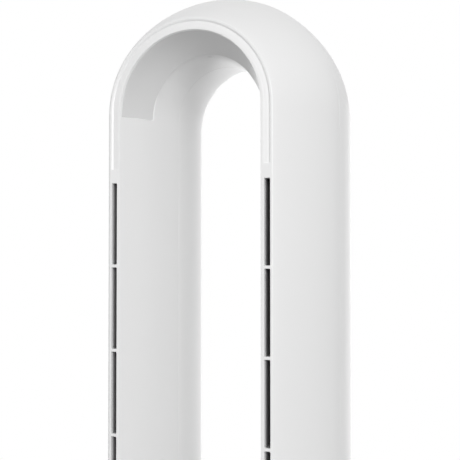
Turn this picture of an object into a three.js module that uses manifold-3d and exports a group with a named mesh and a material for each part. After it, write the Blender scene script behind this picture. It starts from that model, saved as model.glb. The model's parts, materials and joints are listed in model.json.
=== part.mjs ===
// Bladeless tower fan. Millimetres, +Z up, the fan blows towards -Y.
// The origin is the middle of the face it stands on.
import * as THREE from "three";
import { mergeVertices } from "three/addons/utils/BufferGeometryUtils.js";
import Module from "manifold-3d";

const wasm = await Module();
wasm.setup();

// ---------------------------------------------------------------- driving dimensions
const TOTAL_HEIGHT = 1050;
const FIT_GAP = 0.3; // between pieces that touch
const CUT_OVER = 1; // how far a cutter runs past the face it cuts

// Air loop: a hollow, almond-shaped section carried round an upright racetrack
const LOOP_WIDTH = 230;
const LOOP_DEPTH = 174;
const LOOP_WALL = 2.5;
const PART_LINE_DEPTH = 80; // front rim to the joint of the two shells
const LIP_RADIUS = 80.5; // outer edge of the front rim, from the arch centre
const RIM_WIDTH = 10.3;
const RIM_THICKNESS = 3.2;
const THROAT_RADIUS = 51;
const BACK_RIM_RADIUS = 83;
// Lengths of the tangents that round the section
const LIP_FLARE = 4.1;
const LIP_FLARE_DEPTH = 1.8;
const FLANK_FRONT_SWELL = 27;
const FLANK_BACK_SWELL = 69.6;
const BACK_RIM_ROUND = 4.7;
const MOUTH_FLARE = 7;
const MOUTH_FLARE_DEPTH = 17;
const THROAT_FRONT_SWELL = 37;
const THROAT_BACK_SWELL = 21;
const BACK_MOUTH_ROUND = 25.8;

// Air slots in the rim of both legs, and the closed groove that carries their line on
const SLOT_WIDTH = 5.5;
const SLOT_INSET = 1.8; // lip to slot
const SLOT_PITCH = 77.3;
const SLOT_BRIDGE = 2.7;
const SLOT_MARGIN = 64.6; // springline of the top arch to the first slot
const SLOT_FOOT_MARGIN = 60; // springline of the bottom arch to the last slot, at least
const SLOT_CORNER = 0.9;
const GROOVE_DEPTH = 1.75; // at the groove's outer side
const GROOVE_INNER_DEPTH = 0.9;
const GROOVE_RUN = 52; // how far the groove follows each leg
const NOZZLE_DEPTH = 24;
const NOZZLE_WALL = 1.6;
const NOZZLE_FLARE = 5;
const BACK_ROUND_START = 0.8; // on the back curve, where the inside leaves its tight round

// Recessed liner round the inside of the top arch
const LINER_THICKNESS = 1.6;
const LINER_FRONT_DEPTH = 1.4;
const LINER_BACK_DEPTH = 38.6;
const LINER_BACK_RADIUS = 57;
const LINER_LEDGE_DROP = 5; // below the springline
const POCKET_BACKING = 2;
const CLIP_WIDTH = 7;
const CLIP_LENGTH = 3.5;
const CLIP_DROP = 1.2;

// Body that stands on the base and turns
const BODY_INSET = 5; // body's side behind the base's
const BODY_WALL = 3;
const BODY_EDGE_ROUND = 11;
const SHELL_HEIGHT = 120.2; // grille to the flat top
const LOOP_SINK = 60; // lower arch centre to the top of the body
const GRILLE_HEIGHT = 129;
const GRILLE_COLUMNS = 36;
const GRILLE_SLOT_WIDTH = 5.4;
const GRILLE_BAND = 11; // plain band above and below the slots
const CRADLE_WALL = 3;
const CRADLE_NECK = 12; // saddle to the flange below it
const CRADLE_FLANGE_THICKNESS = 3;
const CRADLE_FLANGE_WIDTH = 9;
const PORT_RADIUS = 44; // air passage from the body into the loop
const PORT_WALL = 3;
const PORT_RISE = 25; // how far the passage is cut into the loop
const GASKET_HEIGHT = 3.4;
const GASKET_WIDTH = 8;

// Frame that turns inside the body
const DECK_THICKNESS = 4;
const DECK_DROP = 5; // top of the grille to the deck
const DECK_CLEARANCE = 2; // round the duct
const COLUMN_WIDTH = 14;
const COLUMN_DEPTH = 9;
const COLUMN_COUNT = 4;
const COLUMN_INSET = 4; // behind the grille
const SHOE_MARGIN = 4; // shoe beyond its column on each side
const SHOE_OFFSET = 3; // towards the middle
const SHOE_THICKNESS = 3;

// Base that stays still
const BASE_RADIUS = 115;
const BASE_WALL = 3;
const PAN_HEIGHT = 21;
const COVER_HEIGHT = 10;
const FOOT_HEIGHT = 3;
const FOOT_SEAT = 1.2; // how deep a foot sits in the pan
const FOOT_RADIUS = 9;
const FOOT_INSET = 17; // base's side to the middle of a foot
const FOOT_COUNT = 4;
const PAN_ROUND = 5;
const COVER_ROUND = 6;
const BALLAST_THICKNESS = 7;
const BALLAST_INNER_RADIUS = 60;
const BALLAST_NOTCH = 4; // round the inlet
const TURN_GAP = 1.5; // base to turning body
const THRUST_INSET = 8;
const THRUST_WIDTH = 6;

// Swing drive: a toothed sector in the base and a pinion carried by the turning body
const GEAR_MODULE = 1.5;
const SECTOR_TEETH = 63; // on the full circle
const SECTOR_ANGLE = 58; // degrees each way that carry teeth
const PINION_TEETH = 14;
const GEAR_HEIGHT = 8;
const GEAR_RIM = 4;
const GEAR_BACKLASH = 0.35;
const PRESSURE_ANGLE = 20;
const SPINDLE_RADIUS = 17;
const BUSH_WALL = 2.4;
const BUSH_SHOULDER = 3;
const BUSH_SHOULDER_HEIGHT = 2;
const BOSS_WALL = 3;
const BOSS_DROP = 2; // below the pan's rim
const SCREW_RADIUS = 3;
const SCREW_HEAD_RADIUS = 6;
const SCREW_HEAD_HEIGHT = 2;
const SCREW_LENGTH = 22;
const WASHER_THICKNESS = 1.8;
const WASHER_LIFT = 2.8; // pan's face to the washer
const TURNTABLE_THICKNESS = 4;
const SWING_MOTOR_RADIUS = 21;
const SWING_MOTOR_HEIGHT = 16;
const SWING_MOTOR_EAR = 8; // how far an ear stands out
const SWING_MOTOR_EAR_THICKNESS = 2;
const SWING_MOTOR_CAP = 4; // over its shaft
const SWING_SHAFT_RADIUS = 2.5;
const SWING_SHAFT_CLEARANCE = 3;

// Air mover
const DUCT_ROOM = 41; // body's inner face to the duct
const DUCT_WALL = 2.5;
const DUCT_HANG = 83; // duct's flange down to the impeller's eye
const DUCT_NECK_HEIGHT = 20;
const DUCT_LIP_HEIGHT = 3;
const DUCT_FLANGE_THICKNESS = 3;
const DUCT_FLANGE_MARGIN = 8; // beyond the mounts' circle
const MOUNT_REACH = 14; // duct to the mounts' circle
const MOUNT_RADIUS = 6;
const MOUNT_COUNT = 3;
const ISOLATOR_HEIGHT = 3;
const FOAM_THICKNESS = 12;
const FOAM_LIFT = 4; // above the impeller
const INTAKE_INSET = 19; // duct to the intake's edge
const BELL_HEIGHT = 14;
const BELL_LIP = 13;
const SHROUD_INTAKE_SWELL = 14.7;
const SHROUD_OUTLET_SWELL = 12.6;
const IMPELLER_HEIGHT = 42;
const IMPELLER_BLADES = 7;
const IMPELLER_NOSE_RADIUS = 14;
const IMPELLER_RECESS = 2; // hub and blades inside the impeller's height
const HUB_NOSE_SWELL = 18.9;
const HUB_SKIRT_SWELL = 10.5;
const HUB_SKIRT_INSET = 14; // the skirt's tangent, towards the shaft
const HUB_WALL = 3;
const HUB_OVERLAP = 2; // how deep a blade runs into the hub
const HUB_BOSS_WALL = 4;
const EARLY_TURN = 1.6; // how much faster than evenly a blade starts to turn
const BLADE_THICKNESS = 1.8;
const BLADE_WRAP = 105; // degrees that one blade turns through
const TIP_GAP = 1.3;
const SHAFT_RADIUS = 3;
const VANE_CHANNEL = 20; // duct to the bucket
const BUCKET_WALL = 2;
const VANE_SINK = 1.25; // how deep a vane runs into the rings
const BUCKET_OPENING = 8; // round the shaft, in the bucket's floor
const SEAT_HEIGHT = 6; // of the collar round the motor
const VANE_GAP = 5; // impeller to the vanes
const VANE_COUNT = 9;
const VANE_HEIGHT = 32;
const VANE_THICKNESS = 1.8;
const VANE_SWIRL = 38; // degrees that one vane turns through
const MOTOR_INSET = 16; // bucket to the motor
const MOTOR_HEIGHT = 36;
const MOTOR_EDGE = 2;
const MOTOR_BOSS_WALL = 6;
const MOTOR_BOSS_HEIGHT = 3;

// Controls, below the loop's lip
const CONTROL_DROP = 10; // lip to the top of the control board
const CONTROL_BOARD_WIDTH = 46;
const CONTROL_BOARD_DEPTH = 10; // behind the body's inner face
const CONTROL_BOARD_FOOT = 12; // below the button's middle
const BOARD_THICKNESS = 1.6;
const WINDOW_RADIUS = 17;
const DISPLAY_RADIUS = 13;
const DISPLAY_MARGIN = 2; // display to the board's top
const BUTTON_RADIUS = 7;
const BUTTON_SPACING = 14; // window's edge to the button's middle
const BUTTON_DEPTH = 1; // how far the cap is thicker than the wall
const BUTTON_FLANGE = 1.5;
const BUTTON_FLANGE_THICKNESS = 1;
const BUTTON_STEM_RADIUS = 2.5;
const BUTTON_TRAVEL = 1;
const SWITCH_WIDTH = 6;
const SWITCH_HEIGHT = 4;
const BOARD_SINK = 0.5; // how deep a part sits in its board

// Power board and mains inlet
const POWER_BOARD_WIDTH = 64;
const POWER_BOARD_HEIGHT = 50;
const POWER_BOARD_INSET = 16; // behind the body's inner face
const POWER_BLOCKS = [
  { width: 22, depth: 10.5, height: 18, x: -16, z: 16 },
  { width: 14, depth: 8.5, height: 12, x: 18, z: 12 },
];
const POWER_CANS = [
  { radius: 5, length: 10, x: 8, z: 36 },
  { radius: 4, length: 8, x: 22, z: 34 },
];
const INLET_WIDTH = 24;
const INLET_HEIGHT = 12;
const INLET_LENGTH = 22;
const INLET_INSET = 1;
const INLET_LIFT = 1; // above the pan's floor
const SOCKET_WIDTH = 17;
const SOCKET_HEIGHT = 8.6;
const SOCKET_DEPTH = 13;
const PRONG_RADIUS = 1.2;
const PRONG_SPACING = 8.6;
const PRONG_INSET = 2;

// Facets
const ARC_STEPS = 8; // per quarter of the loop
const FINE = GRILLE_COLUMNS; // round the outside, a facet to each grille slot
const HALF_FINE = FINE / 2; // hidden pieces that fit the body's facets
const MEDIUM = 20; // round the air mover
const COARSE = 12;
const BLADE_STEPS = 5;

// ---------------------------------------------------------------- derived places
const PAN_FLOOR = FOOT_HEIGHT + BASE_WALL;
const PAN_TOP = FOOT_HEIGHT + PAN_HEIGHT;
const BASE_TOP = PAN_TOP + COVER_HEIGHT;
const TURRET_BOTTOM = BASE_TOP + TURN_GAP;
const TURNTABLE_TOP = TURRET_BOTTOM + TURNTABLE_THICKNESS;
const GRILLE_TOP = TURRET_BOTTOM + GRILLE_HEIGHT;
const BODY_TOP = GRILLE_TOP + SHELL_HEIGHT;
const BODY_RADIUS = BASE_RADIUS - BODY_INSET;
const BODY_INNER_RADIUS = BODY_RADIUS - BODY_WALL;
const FIT_RADIUS = BODY_INNER_RADIUS - FIT_GAP;
const FOOT_CIRCLE = BASE_RADIUS - FOOT_INSET;
const BOSS_INNER_RADIUS = SPINDLE_RADIUS + BUSH_WALL + 2 * FIT_GAP;
const BOSS_TOP = PAN_TOP - BOSS_DROP;
const WASHER_BOTTOM = FOOT_HEIGHT + WASHER_LIFT;
const WASHER_TOP = WASHER_BOTTOM + WASHER_THICKNESS;
const INLET_Z = PAN_FLOOR + INLET_LIFT + FIT_GAP + INLET_HEIGHT / 2;

const LOOP_RADIUS = LOOP_WIDTH / 2;
const FRONT_Y = -LOOP_DEPTH / 2;
const HIGH_Z = TOTAL_HEIGHT - LOOP_RADIUS; // centre of the top arch
const LOW_Z = BODY_TOP + LOOP_SINK; // centre of the bottom arch
const RIM_INNER_RADIUS = LIP_RADIUS - RIM_WIDTH;
const SLOT_OUTER_RADIUS = LIP_RADIUS - SLOT_INSET;
const SLOT_INNER_RADIUS = SLOT_OUTER_RADIUS - SLOT_WIDTH;
const SLOT_TOP = HIGH_Z - SLOT_MARGIN;
const SLOT_ROOM = SLOT_TOP - LOW_Z - SLOT_FOOT_MARGIN;
const SLOT_COUNT = Math.floor((SLOT_ROOM + SLOT_BRIDGE) / SLOT_PITCH);
const SLOT_BOTTOM = SLOT_TOP - SLOT_COUNT * SLOT_PITCH + SLOT_BRIDGE;

const PITCH_RADIUS_SECTOR = (GEAR_MODULE * SECTOR_TEETH) / 2;
const PITCH_RADIUS_PINION = (GEAR_MODULE * PINION_TEETH) / 2;
const PINION_OFFSET = PITCH_RADIUS_SECTOR - PITCH_RADIUS_PINION;
const GEAR_BOTTOM = PAN_FLOOR + FIT_GAP;

const CHASSIS_DECK = GRILLE_TOP - DECK_DROP;
const DECK_TOP = CHASSIS_DECK + DECK_THICKNESS;
const DUCT_FLANGE_Z = DECK_TOP + ISOLATOR_HEIGHT + 2 * FIT_GAP;
const DUCT_RADIUS = BODY_INNER_RADIUS - DUCT_ROOM;
const INTAKE_RADIUS = DUCT_RADIUS - INTAKE_INSET;
const MOUNT_CIRCLE = DUCT_RADIUS + MOUNT_REACH;
const BUCKET_RADIUS = DUCT_RADIUS - VANE_CHANNEL;
const MOTOR_RADIUS = BUCKET_RADIUS - MOTOR_INSET;
const IMPELLER_BOTTOM = DUCT_FLANGE_Z - DUCT_HANG;
const IMPELLER_TOP = IMPELLER_BOTTOM + IMPELLER_HEIGHT;
const BLADE_TOP = IMPELLER_TOP - IMPELLER_RECESS;
const VANE_BOTTOM = IMPELLER_TOP + VANE_GAP;
const BUCKET_TOP = VANE_BOTTOM + VANE_HEIGHT;
const LENS_BOTTOM = LOW_Z - LOOP_RADIUS;
const CRADLE_FLANGE_Z = LENS_BOTTOM - CRADLE_WALL - CRADLE_NECK;
const DUCT_TOP = CRADLE_FLANGE_Z - GASKET_HEIGHT - 2 * FIT_GAP;

const BOARD_TOP = LOW_Z - LIP_RADIUS - CONTROL_DROP;
const WINDOW_Z = BOARD_TOP - DISPLAY_MARGIN - DISPLAY_RADIUS;
const BUTTON_Z = WINDOW_Z - WINDOW_RADIUS - BUTTON_SPACING;
const CONTROL_BOARD_Y = -BODY_INNER_RADIUS + CONTROL_BOARD_DEPTH;
const SWITCH_FRONT = CONTROL_BOARD_Y - SWITCH_HEIGHT;

// ---------------------------------------------------------------- materials
function plastic(color, roughness) {
  return new THREE.MeshStandardMaterial({ color, roughness, metalness: 0 });
}
function metal(color, roughness) {
  return new THREE.MeshStandardMaterial({ color, roughness, metalness: 1 });
}
const WHITE = plastic(0xe6e6e4, 0.32);
const LINER_WHITE = plastic(0xdededc, 0.38);
const NOZZLE_GREY = plastic(0x4a4b4d, 0.55);
const INNER_GREY = plastic(0x8d9093, 0.5);
const DARK = plastic(0x2b2d30, 0.45);
const GLOSS_BLACK = plastic(0x101113, 0.12);
const RUBBER = plastic(0x1e1f20, 0.85);
const ACETAL = plastic(0xd8d6cf, 0.4);
const FOAM = plastic(0x55575a, 0.95);
const BOARD = plastic(0x2f5d3a, 0.6);
const STEEL = metal(0xa9adb1, 0.35);
const COPPER = metal(0xb87445, 0.35);

// ---------------------------------------------------------------- solids
const radians = THREE.MathUtils.degToRad;
const point = (x, y) => new THREE.Vector2(x, y);

// A closed three.js geometry as a solid whose faces point out.
function solid(geometry) {
  const bare = geometry.index ? geometry.toNonIndexed() : geometry.clone();
  bare.deleteAttribute("normal");
  bare.deleteAttribute("uv");
  const merged = mergeVertices(bare, 1e-4);
  const corners = merged.index.array;
  const kept = [];
  for (let i = 0; i < corners.length; i += 3) {
    const [a, b, c] = [corners[i], corners[i + 1], corners[i + 2]];
    if (a !== b && b !== c && c !== a) kept.push(a, b, c);
  }
  const vertProperties = merged.attributes.position.array;
  const made = new wasm.Manifold(
    new wasm.Mesh({ numProp: 3, vertProperties, triVerts: new Uint32Array(kept) }),
  );
  if (made.volume() > 0) return made;
  return new wasm.Manifold(
    new wasm.Mesh({ numProp: 3, vertProperties, triVerts: new Uint32Array(kept.reverse()) }),
  );
}

function geometryOf(shape) {
  const mesh = shape.getMesh();
  const geometry = new THREE.BufferGeometry();
  const step = mesh.numProp;
  const positions = new Float32Array(mesh.numVert * 3);
  for (let i = 0; i < mesh.numVert; i += 1) {
    positions.set(mesh.vertProperties.subarray(i * step, i * step + 3), i * 3);
  }
  geometry.setAttribute("position", new THREE.BufferAttribute(positions, 3));
  geometry.setIndex(new THREE.BufferAttribute(new Uint32Array(mesh.triVerts), 1));
  geometry.computeVertexNormals();
  return geometry;
}

const join = (shapes) => shapes.reduce((whole, next) => whole.add(next));
const cut = (shape, cutters) => cutters.reduce((whole, next) => whole.subtract(next), shape);

function box(width, depth, height, x, y, z) {
  return solid(new THREE.BoxGeometry(width, depth, height).translate(x, y, z));
}

// Upright cylinder between two heights.
function rod(radius, low, high, x = 0, y = 0, sides = COARSE) {
  const geometry = new THREE.CylinderGeometry(radius, radius, high - low, sides);
  return solid(geometry.rotateX(Math.PI / 2).translate(x, y, (low + high) / 2));
}

// Cylinder that lies along Y.
function pin(radius, front, back, x, z, sides = COARSE) {
  const geometry = new THREE.CylinderGeometry(radius, radius, back - front, sides);
  return solid(geometry.translate(x, (front + back) / 2, z));
}

// Revolves a closed profile of [radius, height] pairs round the upright axis.
function turned(profile, sides = MEDIUM) {
  const points = profile.map(([r, z]) => point(r, z));
  points.push(points[0].clone());
  return solid(new THREE.LatheGeometry(points, sides).rotateX(Math.PI / 2));
}

function ring(inner, outer, low, high, sides = MEDIUM) {
  return turned([[inner, low], [outer, low], [outer, high], [inner, high]], sides);
}

// Repeats a solid round the upright axis.
function around(shape, count, first = 0) {
  const copies = [];
  for (let i = 0; i < count; i += 1) {
    copies.push(shape.rotate([0, 0, first + (360 * i) / count]));
  }
  return copies;
}

// ---------------------------------------------------------------- sweeping
// A station of a sweep: where it is, which way the section's first coordinate points,
// and the way the sweep goes on. The second coordinate then points along their product.
class StationPath extends THREE.Curve {
  constructor(stations) {
    super();
    this.stations = stations;
  }
  getPoint(t) {
    return this.stations[Math.round(t * (this.stations.length - 1))].centre.clone();
  }
  getSpacedPoints() {
    return this.stations.map((station) => station.centre.clone());
  }
  computeFrenetFrames() {
    const tangents = this.stations.map((station) => station.along);
    const normals = this.stations.map((station) => station.first);
    const binormals = tangents.map((along, i) => along.clone().cross(normals[i]));
    return { tangents, normals, binormals };
  }
}

function extruded(outline, stations) {
  return new THREE.ExtrudeGeometry(new THREE.Shape(outline), {
    steps: stations.length - 1,
    extrudePath: new StationPath(stations),
  });
}

function sweep(outline, stations) {
  return solid(extruded(outline, stations));
}

// A sweep that comes back to its start: its two lids fall on each other and are left out.
function closedSweep(outline, stations) {
  const whole = extruded(outline, stations);
  const sides = whole.groups.find((group) => group.materialIndex === 1);
  const positions = whole.attributes.position.array;
  const walls = new THREE.BufferGeometry();
  const slice = positions.slice(sides.start * 3, (sides.start + sides.count) * 3);
  walls.setAttribute("position", new THREE.BufferAttribute(slice, 3));
  return solid(walls);
}

// Station of the racetrack: `angle` in degrees from +X, round a centre at height z.
function loopStation(angle, z) {
  const turn = radians(angle);
  return {
    centre: new THREE.Vector3(0, 0, z),
    first: new THREE.Vector3(Math.cos(turn), 0, Math.sin(turn)),
    along: new THREE.Vector3(-Math.sin(turn), 0, Math.cos(turn)),
  };
}

function arcStations(from, to, z) {
  const count = Math.round((Math.abs(to - from) / 90) * ARC_STEPS);
  return Array.from({ length: count + 1 }, (_, i) =>
    loopStation(from + ((to - from) * i) / count, z),
  );
}

function racetrack() {
  return [
    ...arcStations(-90, 0, LOW_Z),
    ...arcStations(0, 180, HIGH_Z),
    ...arcStations(180, 270, LOW_Z),
  ];
}

// Over one arch and `drop` down both of its legs.
function archStations(drop) {
  return [
    loopStation(0, HIGH_Z - drop),
    ...arcStations(0, 180, HIGH_Z),
    loopStation(180, HIGH_Z - drop),
  ];
}

function lowerArchStations(rise) {
  return [
    loopStation(180, LOW_Z + rise),
    ...arcStations(180, 360, LOW_Z),
    loopStation(0, LOW_Z + rise),
  ];
}

// Straight along one leg: side is 1 for +X and -1 for -X.
function legStations(side, low, high) {
  if (side > 0) return [loopStation(0, low), loopStation(0, high)];
  return [loopStation(180, high), loopStation(180, low)];
}

// ---------------------------------------------------------------- loop section
const sectionPoint = (radius, depth) => point(radius, FRONT_Y + depth);

const outerFront = new THREE.CubicBezierCurve(
  sectionPoint(LIP_RADIUS, 0),
  sectionPoint(LIP_RADIUS + LIP_FLARE, LIP_FLARE_DEPTH),
  sectionPoint(LOOP_RADIUS, PART_LINE_DEPTH - FLANK_FRONT_SWELL),
  sectionPoint(LOOP_RADIUS, PART_LINE_DEPTH),
);
const outerBack = new THREE.CubicBezierCurve(
  sectionPoint(LOOP_RADIUS, PART_LINE_DEPTH),
  sectionPoint(LOOP_RADIUS, PART_LINE_DEPTH + FLANK_BACK_SWELL),
  sectionPoint(BACK_RIM_RADIUS + BACK_RIM_ROUND, LOOP_DEPTH),
  sectionPoint(BACK_RIM_RADIUS, LOOP_DEPTH),
);
const innerFront = new THREE.CubicBezierCurve(
  sectionPoint(RIM_INNER_RADIUS, 0),
  sectionPoint(RIM_INNER_RADIUS - MOUTH_FLARE, MOUTH_FLARE_DEPTH),
  sectionPoint(THROAT_RADIUS, PART_LINE_DEPTH - THROAT_FRONT_SWELL),
  sectionPoint(THROAT_RADIUS, PART_LINE_DEPTH),
);
const innerBack = new THREE.CubicBezierCurve(
  sectionPoint(THROAT_RADIUS, PART_LINE_DEPTH),
  sectionPoint(THROAT_RADIUS, PART_LINE_DEPTH + THROAT_BACK_SWELL),
  sectionPoint(BACK_RIM_RADIUS - BACK_MOUTH_ROUND, LOOP_DEPTH),
  sectionPoint(BACK_RIM_RADIUS, LOOP_DEPTH),
);

// Points of a curve between two parameters, moved to its left by `shift`.
function beside(curve, from, to, steps, shift = 0) {
  return Array.from({ length: steps + 1 }, (_, i) => {
    const t = from + ((to - from) * i) / steps;
    const along = curve.getTangent(t);
    return curve.getPoint(t).add(point(-along.y * shift, along.x * shift));
  });
}

// Parameter at which a curve whose second coordinate grows reaches a value.
function parameterAt(curve, value) {
  let low = 0;
  let high = 1;
  for (let i = 0; i < 40; i += 1) {
    const middle = (low + high) / 2;
    if (curve.getPoint(middle).y < value) low = middle;
    else high = middle;
  }
  return low;
}

const RIM_OUTER_START = parameterAt(outerFront, FRONT_Y + RIM_THICKNESS);
const RIM_INNER_START = parameterAt(innerFront, FRONT_Y + RIM_THICKNESS);
// The rim's inner face runs between the ends of the two inside curves.
const RIM_BACK_ENDS = [
  beside(outerFront, RIM_OUTER_START, 1, 1, LOOP_WALL)[0],
  beside(innerFront, RIM_INNER_START, 1, 1, -LOOP_WALL)[0],
];
const RIM_BACK_DEPTH = Math.max(...RIM_BACK_ENDS.map((end) => end.y)) - FRONT_Y;

function frontSection() {
  const half = point(0, -FIT_GAP / 2);
  const outer = beside(outerFront, 1, 0, 6);
  const inner = beside(innerFront, 0, 1, 5);
  const insideInner = beside(innerFront, 1, RIM_INNER_START, 2, -LOOP_WALL);
  const insideOuter = beside(outerFront, RIM_OUTER_START, 1, 2, LOOP_WALL);
  outer[0].add(half);
  inner.at(-1).add(half);
  insideInner[0].add(half);
  insideOuter.at(-1).add(half);
  return [...outer, ...inner, ...insideInner, ...insideOuter];
}

function backSection() {
  const half = point(0, FIT_GAP / 2);
  const outer = beside(outerBack, 0, 1, 6);
  const inner = beside(innerBack, 1, 0, 5).slice(1);
  const insideInner = beside(innerBack, 0, 1, 2, -LOOP_WALL);
  const insideOuter = beside(outerBack, BACK_ROUND_START, 0, 2, LOOP_WALL);
  outer[0].add(half);
  inner.at(-1).add(half);
  insideInner[0].add(half);
  insideOuter.at(-1).add(half);
  return [...outer, ...inner, ...insideInner, ...insideOuter];
}

// The loop's outer form as a full solid of revolution about the lower arch's own axis,
// grown by `grow`: what the body and the cradle are cut by.
function lens(grow) {
  const front = beside(outerFront, 0, 1, 6, -grow);
  const back = beside(outerBack, 0, 1, 6, -grow).slice(1);
  const rim = [
    point(0, FRONT_Y - grow),
    point(LIP_RADIUS, FRONT_Y - grow),
    ...front,
    ...back,
    point(0, FRONT_Y + LOOP_DEPTH + grow),
  ];
  return solid(new THREE.LatheGeometry(rim, 4 * ARC_STEPS).translate(0, 0, LOW_Z));
}

// ---------------------------------------------------------------- loop pieces
// The liner's face runs straight from the rim's inner edge to the step at its back.
const linerRun = sectionPoint(LINER_BACK_RADIUS, LINER_BACK_DEPTH).sub(
  sectionPoint(RIM_INNER_RADIUS, 0),
);
const linerOut = point(linerRun.y, -linerRun.x).normalize();

// Point on the liner's face line at a depth, moved into the wall by `shift`.
function linerPoint(depth, shift = 0) {
  const start = sectionPoint(RIM_INNER_RADIUS, 0);
  const moved = start.addScaledVector(linerOut, shift);
  const share = (FRONT_Y + depth - moved.y) / linerRun.y;
  return moved.addScaledVector(linerRun, share);
}

function pocketSection() {
  const floor = LINER_THICKNESS + FIT_GAP;
  return [
    linerPoint(LINER_FRONT_DEPTH - FIT_GAP),
    linerPoint(LINER_FRONT_DEPTH - FIT_GAP, floor),
    linerPoint(LINER_BACK_DEPTH, floor),
    sectionPoint(THROAT_RADIUS - CUT_OVER, LINER_BACK_DEPTH),
    sectionPoint(THROAT_RADIUS - CUT_OVER, LINER_FRONT_DEPTH - FIT_GAP),
  ];
}

function backingSection() {
  const near = LINER_THICKNESS + FIT_GAP;
  const far = near + POCKET_BACKING;
  const foot = LINER_BACK_DEPTH + POCKET_BACKING;
  const step = innerFront.getPoint(parameterAt(innerFront, FRONT_Y + LINER_BACK_DEPTH)).x;
  return [
    linerPoint(LINER_FRONT_DEPTH, near),
    linerPoint(LINER_BACK_DEPTH, near),
    sectionPoint(step + LOOP_WALL / 2, LINER_BACK_DEPTH),
    sectionPoint(step + LOOP_WALL / 2, foot),
    linerPoint(foot, far),
    linerPoint(LINER_FRONT_DEPTH, far),
  ];
}

// One long slot with round corners through the rim of a leg, crossed by its bridges.
function slotCutter(side) {
  const middle = (side * (SLOT_INNER_RADIUS + SLOT_OUTER_RADIUS)) / 2;
  const half = SLOT_WIDTH / 2;
  const shape = new THREE.Shape();
  shape.absarc(middle + half - SLOT_CORNER, SLOT_TOP - SLOT_CORNER, SLOT_CORNER, 0, Math.PI / 2);
  shape.absarc(middle - half + SLOT_CORNER, SLOT_TOP - SLOT_CORNER, SLOT_CORNER, Math.PI / 2, Math.PI);
  shape.absarc(middle - half + SLOT_CORNER, SLOT_BOTTOM + SLOT_CORNER, SLOT_CORNER, Math.PI, 1.5 * Math.PI);
  shape.absarc(middle + half - SLOT_CORNER, SLOT_BOTTOM + SLOT_CORNER, SLOT_CORNER, -Math.PI / 2, 0);
  const depth = RIM_BACK_DEPTH + 2 * CUT_OVER;
  const geometry = new THREE.ExtrudeGeometry(shape, { depth, bevelEnabled: false, curveSegments: 2 });
  geometry.rotateX(Math.PI / 2).translate(0, FRONT_Y - CUT_OVER + depth, 0);
  const bridges = [];
  for (let i = 1; i < SLOT_COUNT; i += 1) {
    const z = SLOT_TOP - i * SLOT_PITCH + SLOT_BRIDGE / 2;
    bridges.push(box(2 * SLOT_WIDTH, 3 * depth, SLOT_BRIDGE, middle, FRONT_Y, z));
  }
  return cut(solid(geometry), bridges);
}

function grooveSection() {
  return [
    sectionPoint(SLOT_INNER_RADIUS, -CUT_OVER),
    sectionPoint(SLOT_OUTER_RADIUS, -CUT_OVER),
    sectionPoint(SLOT_OUTER_RADIUS, GROOVE_DEPTH),
    sectionPoint(SLOT_INNER_RADIUS, GROOVE_INNER_DEPTH),
  ];
}

function portCutter() {
  return rod(PORT_RADIUS, LENS_BOTTOM - CUT_OVER, LENS_BOTTOM + PORT_RISE, 0, 0, MEDIUM);
}

function loopFrontShell() {
  const pocket = archStations(LINER_LEDGE_DROP);
  const shell = closedSweep(frontSection(), racetrack())
    .subtract(sweep(pocketSection(), pocket))
    .add(sweep(backingSection(), archStations(LINER_LEDGE_DROP - FIT_GAP)));
  return cut(shell, [
    sweep(grooveSection(), archStations(GROOVE_RUN)),
    sweep(grooveSection(), lowerArchStations(GROOVE_RUN)),
    slotCutter(1),
    slotCutter(-1),
    portCutter(),
  ]);
}

function loopBackShell() {
  return closedSweep(backSection(), racetrack()).subtract(portCutter());
}

function archLiner() {
  const section = [
    linerPoint(LINER_FRONT_DEPTH),
    linerPoint(LINER_FRONT_DEPTH, LINER_THICKNESS),
    linerPoint(LINER_BACK_DEPTH - FIT_GAP, LINER_THICKNESS),
    linerPoint(LINER_BACK_DEPTH - FIT_GAP),
  ];
  return sweep(section, archStations(LINER_LEDGE_DROP - FIT_GAP));
}

// Small catch on the shell that holds the liner's back edge at the top of the arch.
function linerClip() {
  const at = (depth, drop) => {
    const t = parameterAt(innerFront, FRONT_Y + depth);
    return innerFront.getPoint(t).sub(point(FIT_GAP + drop, 0));
  };
  const back = LINER_BACK_DEPTH + CLIP_LENGTH;
  const section = [
    at(back, 0), at(LINER_BACK_DEPTH, 0), at(LINER_BACK_DEPTH, CLIP_DROP), at(back, CLIP_DROP),
  ];
  const half = THREE.MathUtils.radToDeg(CLIP_WIDTH / 2 / section[0].x);
  return sweep(section, [90 - half, 90, 90 + half].map((angle) => loopStation(angle, HIGH_Z)));
}

// Narrowing duct behind the slots of one leg, with a rib behind each bridge.
function nozzle(side) {
  const front = RIM_BACK_DEPTH + FIT_GAP;
  const back = front + NOZZLE_DEPTH;
  const outline = (wall, over) => [
    sectionPoint(SLOT_INNER_RADIUS - wall, front - over),
    sectionPoint(SLOT_OUTER_RADIUS + wall, front - over),
    sectionPoint(SLOT_OUTER_RADIUS + wall, front),
    sectionPoint(SLOT_OUTER_RADIUS + wall + NOZZLE_FLARE, back + over),
    sectionPoint(SLOT_INNER_RADIUS - wall - NOZZLE_FLARE, back + over),
    sectionPoint(SLOT_INNER_RADIUS - wall, front),
  ];
  const solidOutline = outline(NOZZLE_WALL, 0).filter((_, i) => i > 1);
  const body = sweep(solidOutline, legStations(side, SLOT_BOTTOM - NOZZLE_WALL, SLOT_TOP + NOZZLE_WALL));
  const channels = [];
  for (let i = 0; i < SLOT_COUNT; i += 1) {
    const top = SLOT_TOP - i * SLOT_PITCH;
    const low = top - SLOT_PITCH + SLOT_BRIDGE;
    channels.push(sweep(outline(0, CUT_OVER), legStations(side, low, top)));
  }
  return cut(body, channels);
}

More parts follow.
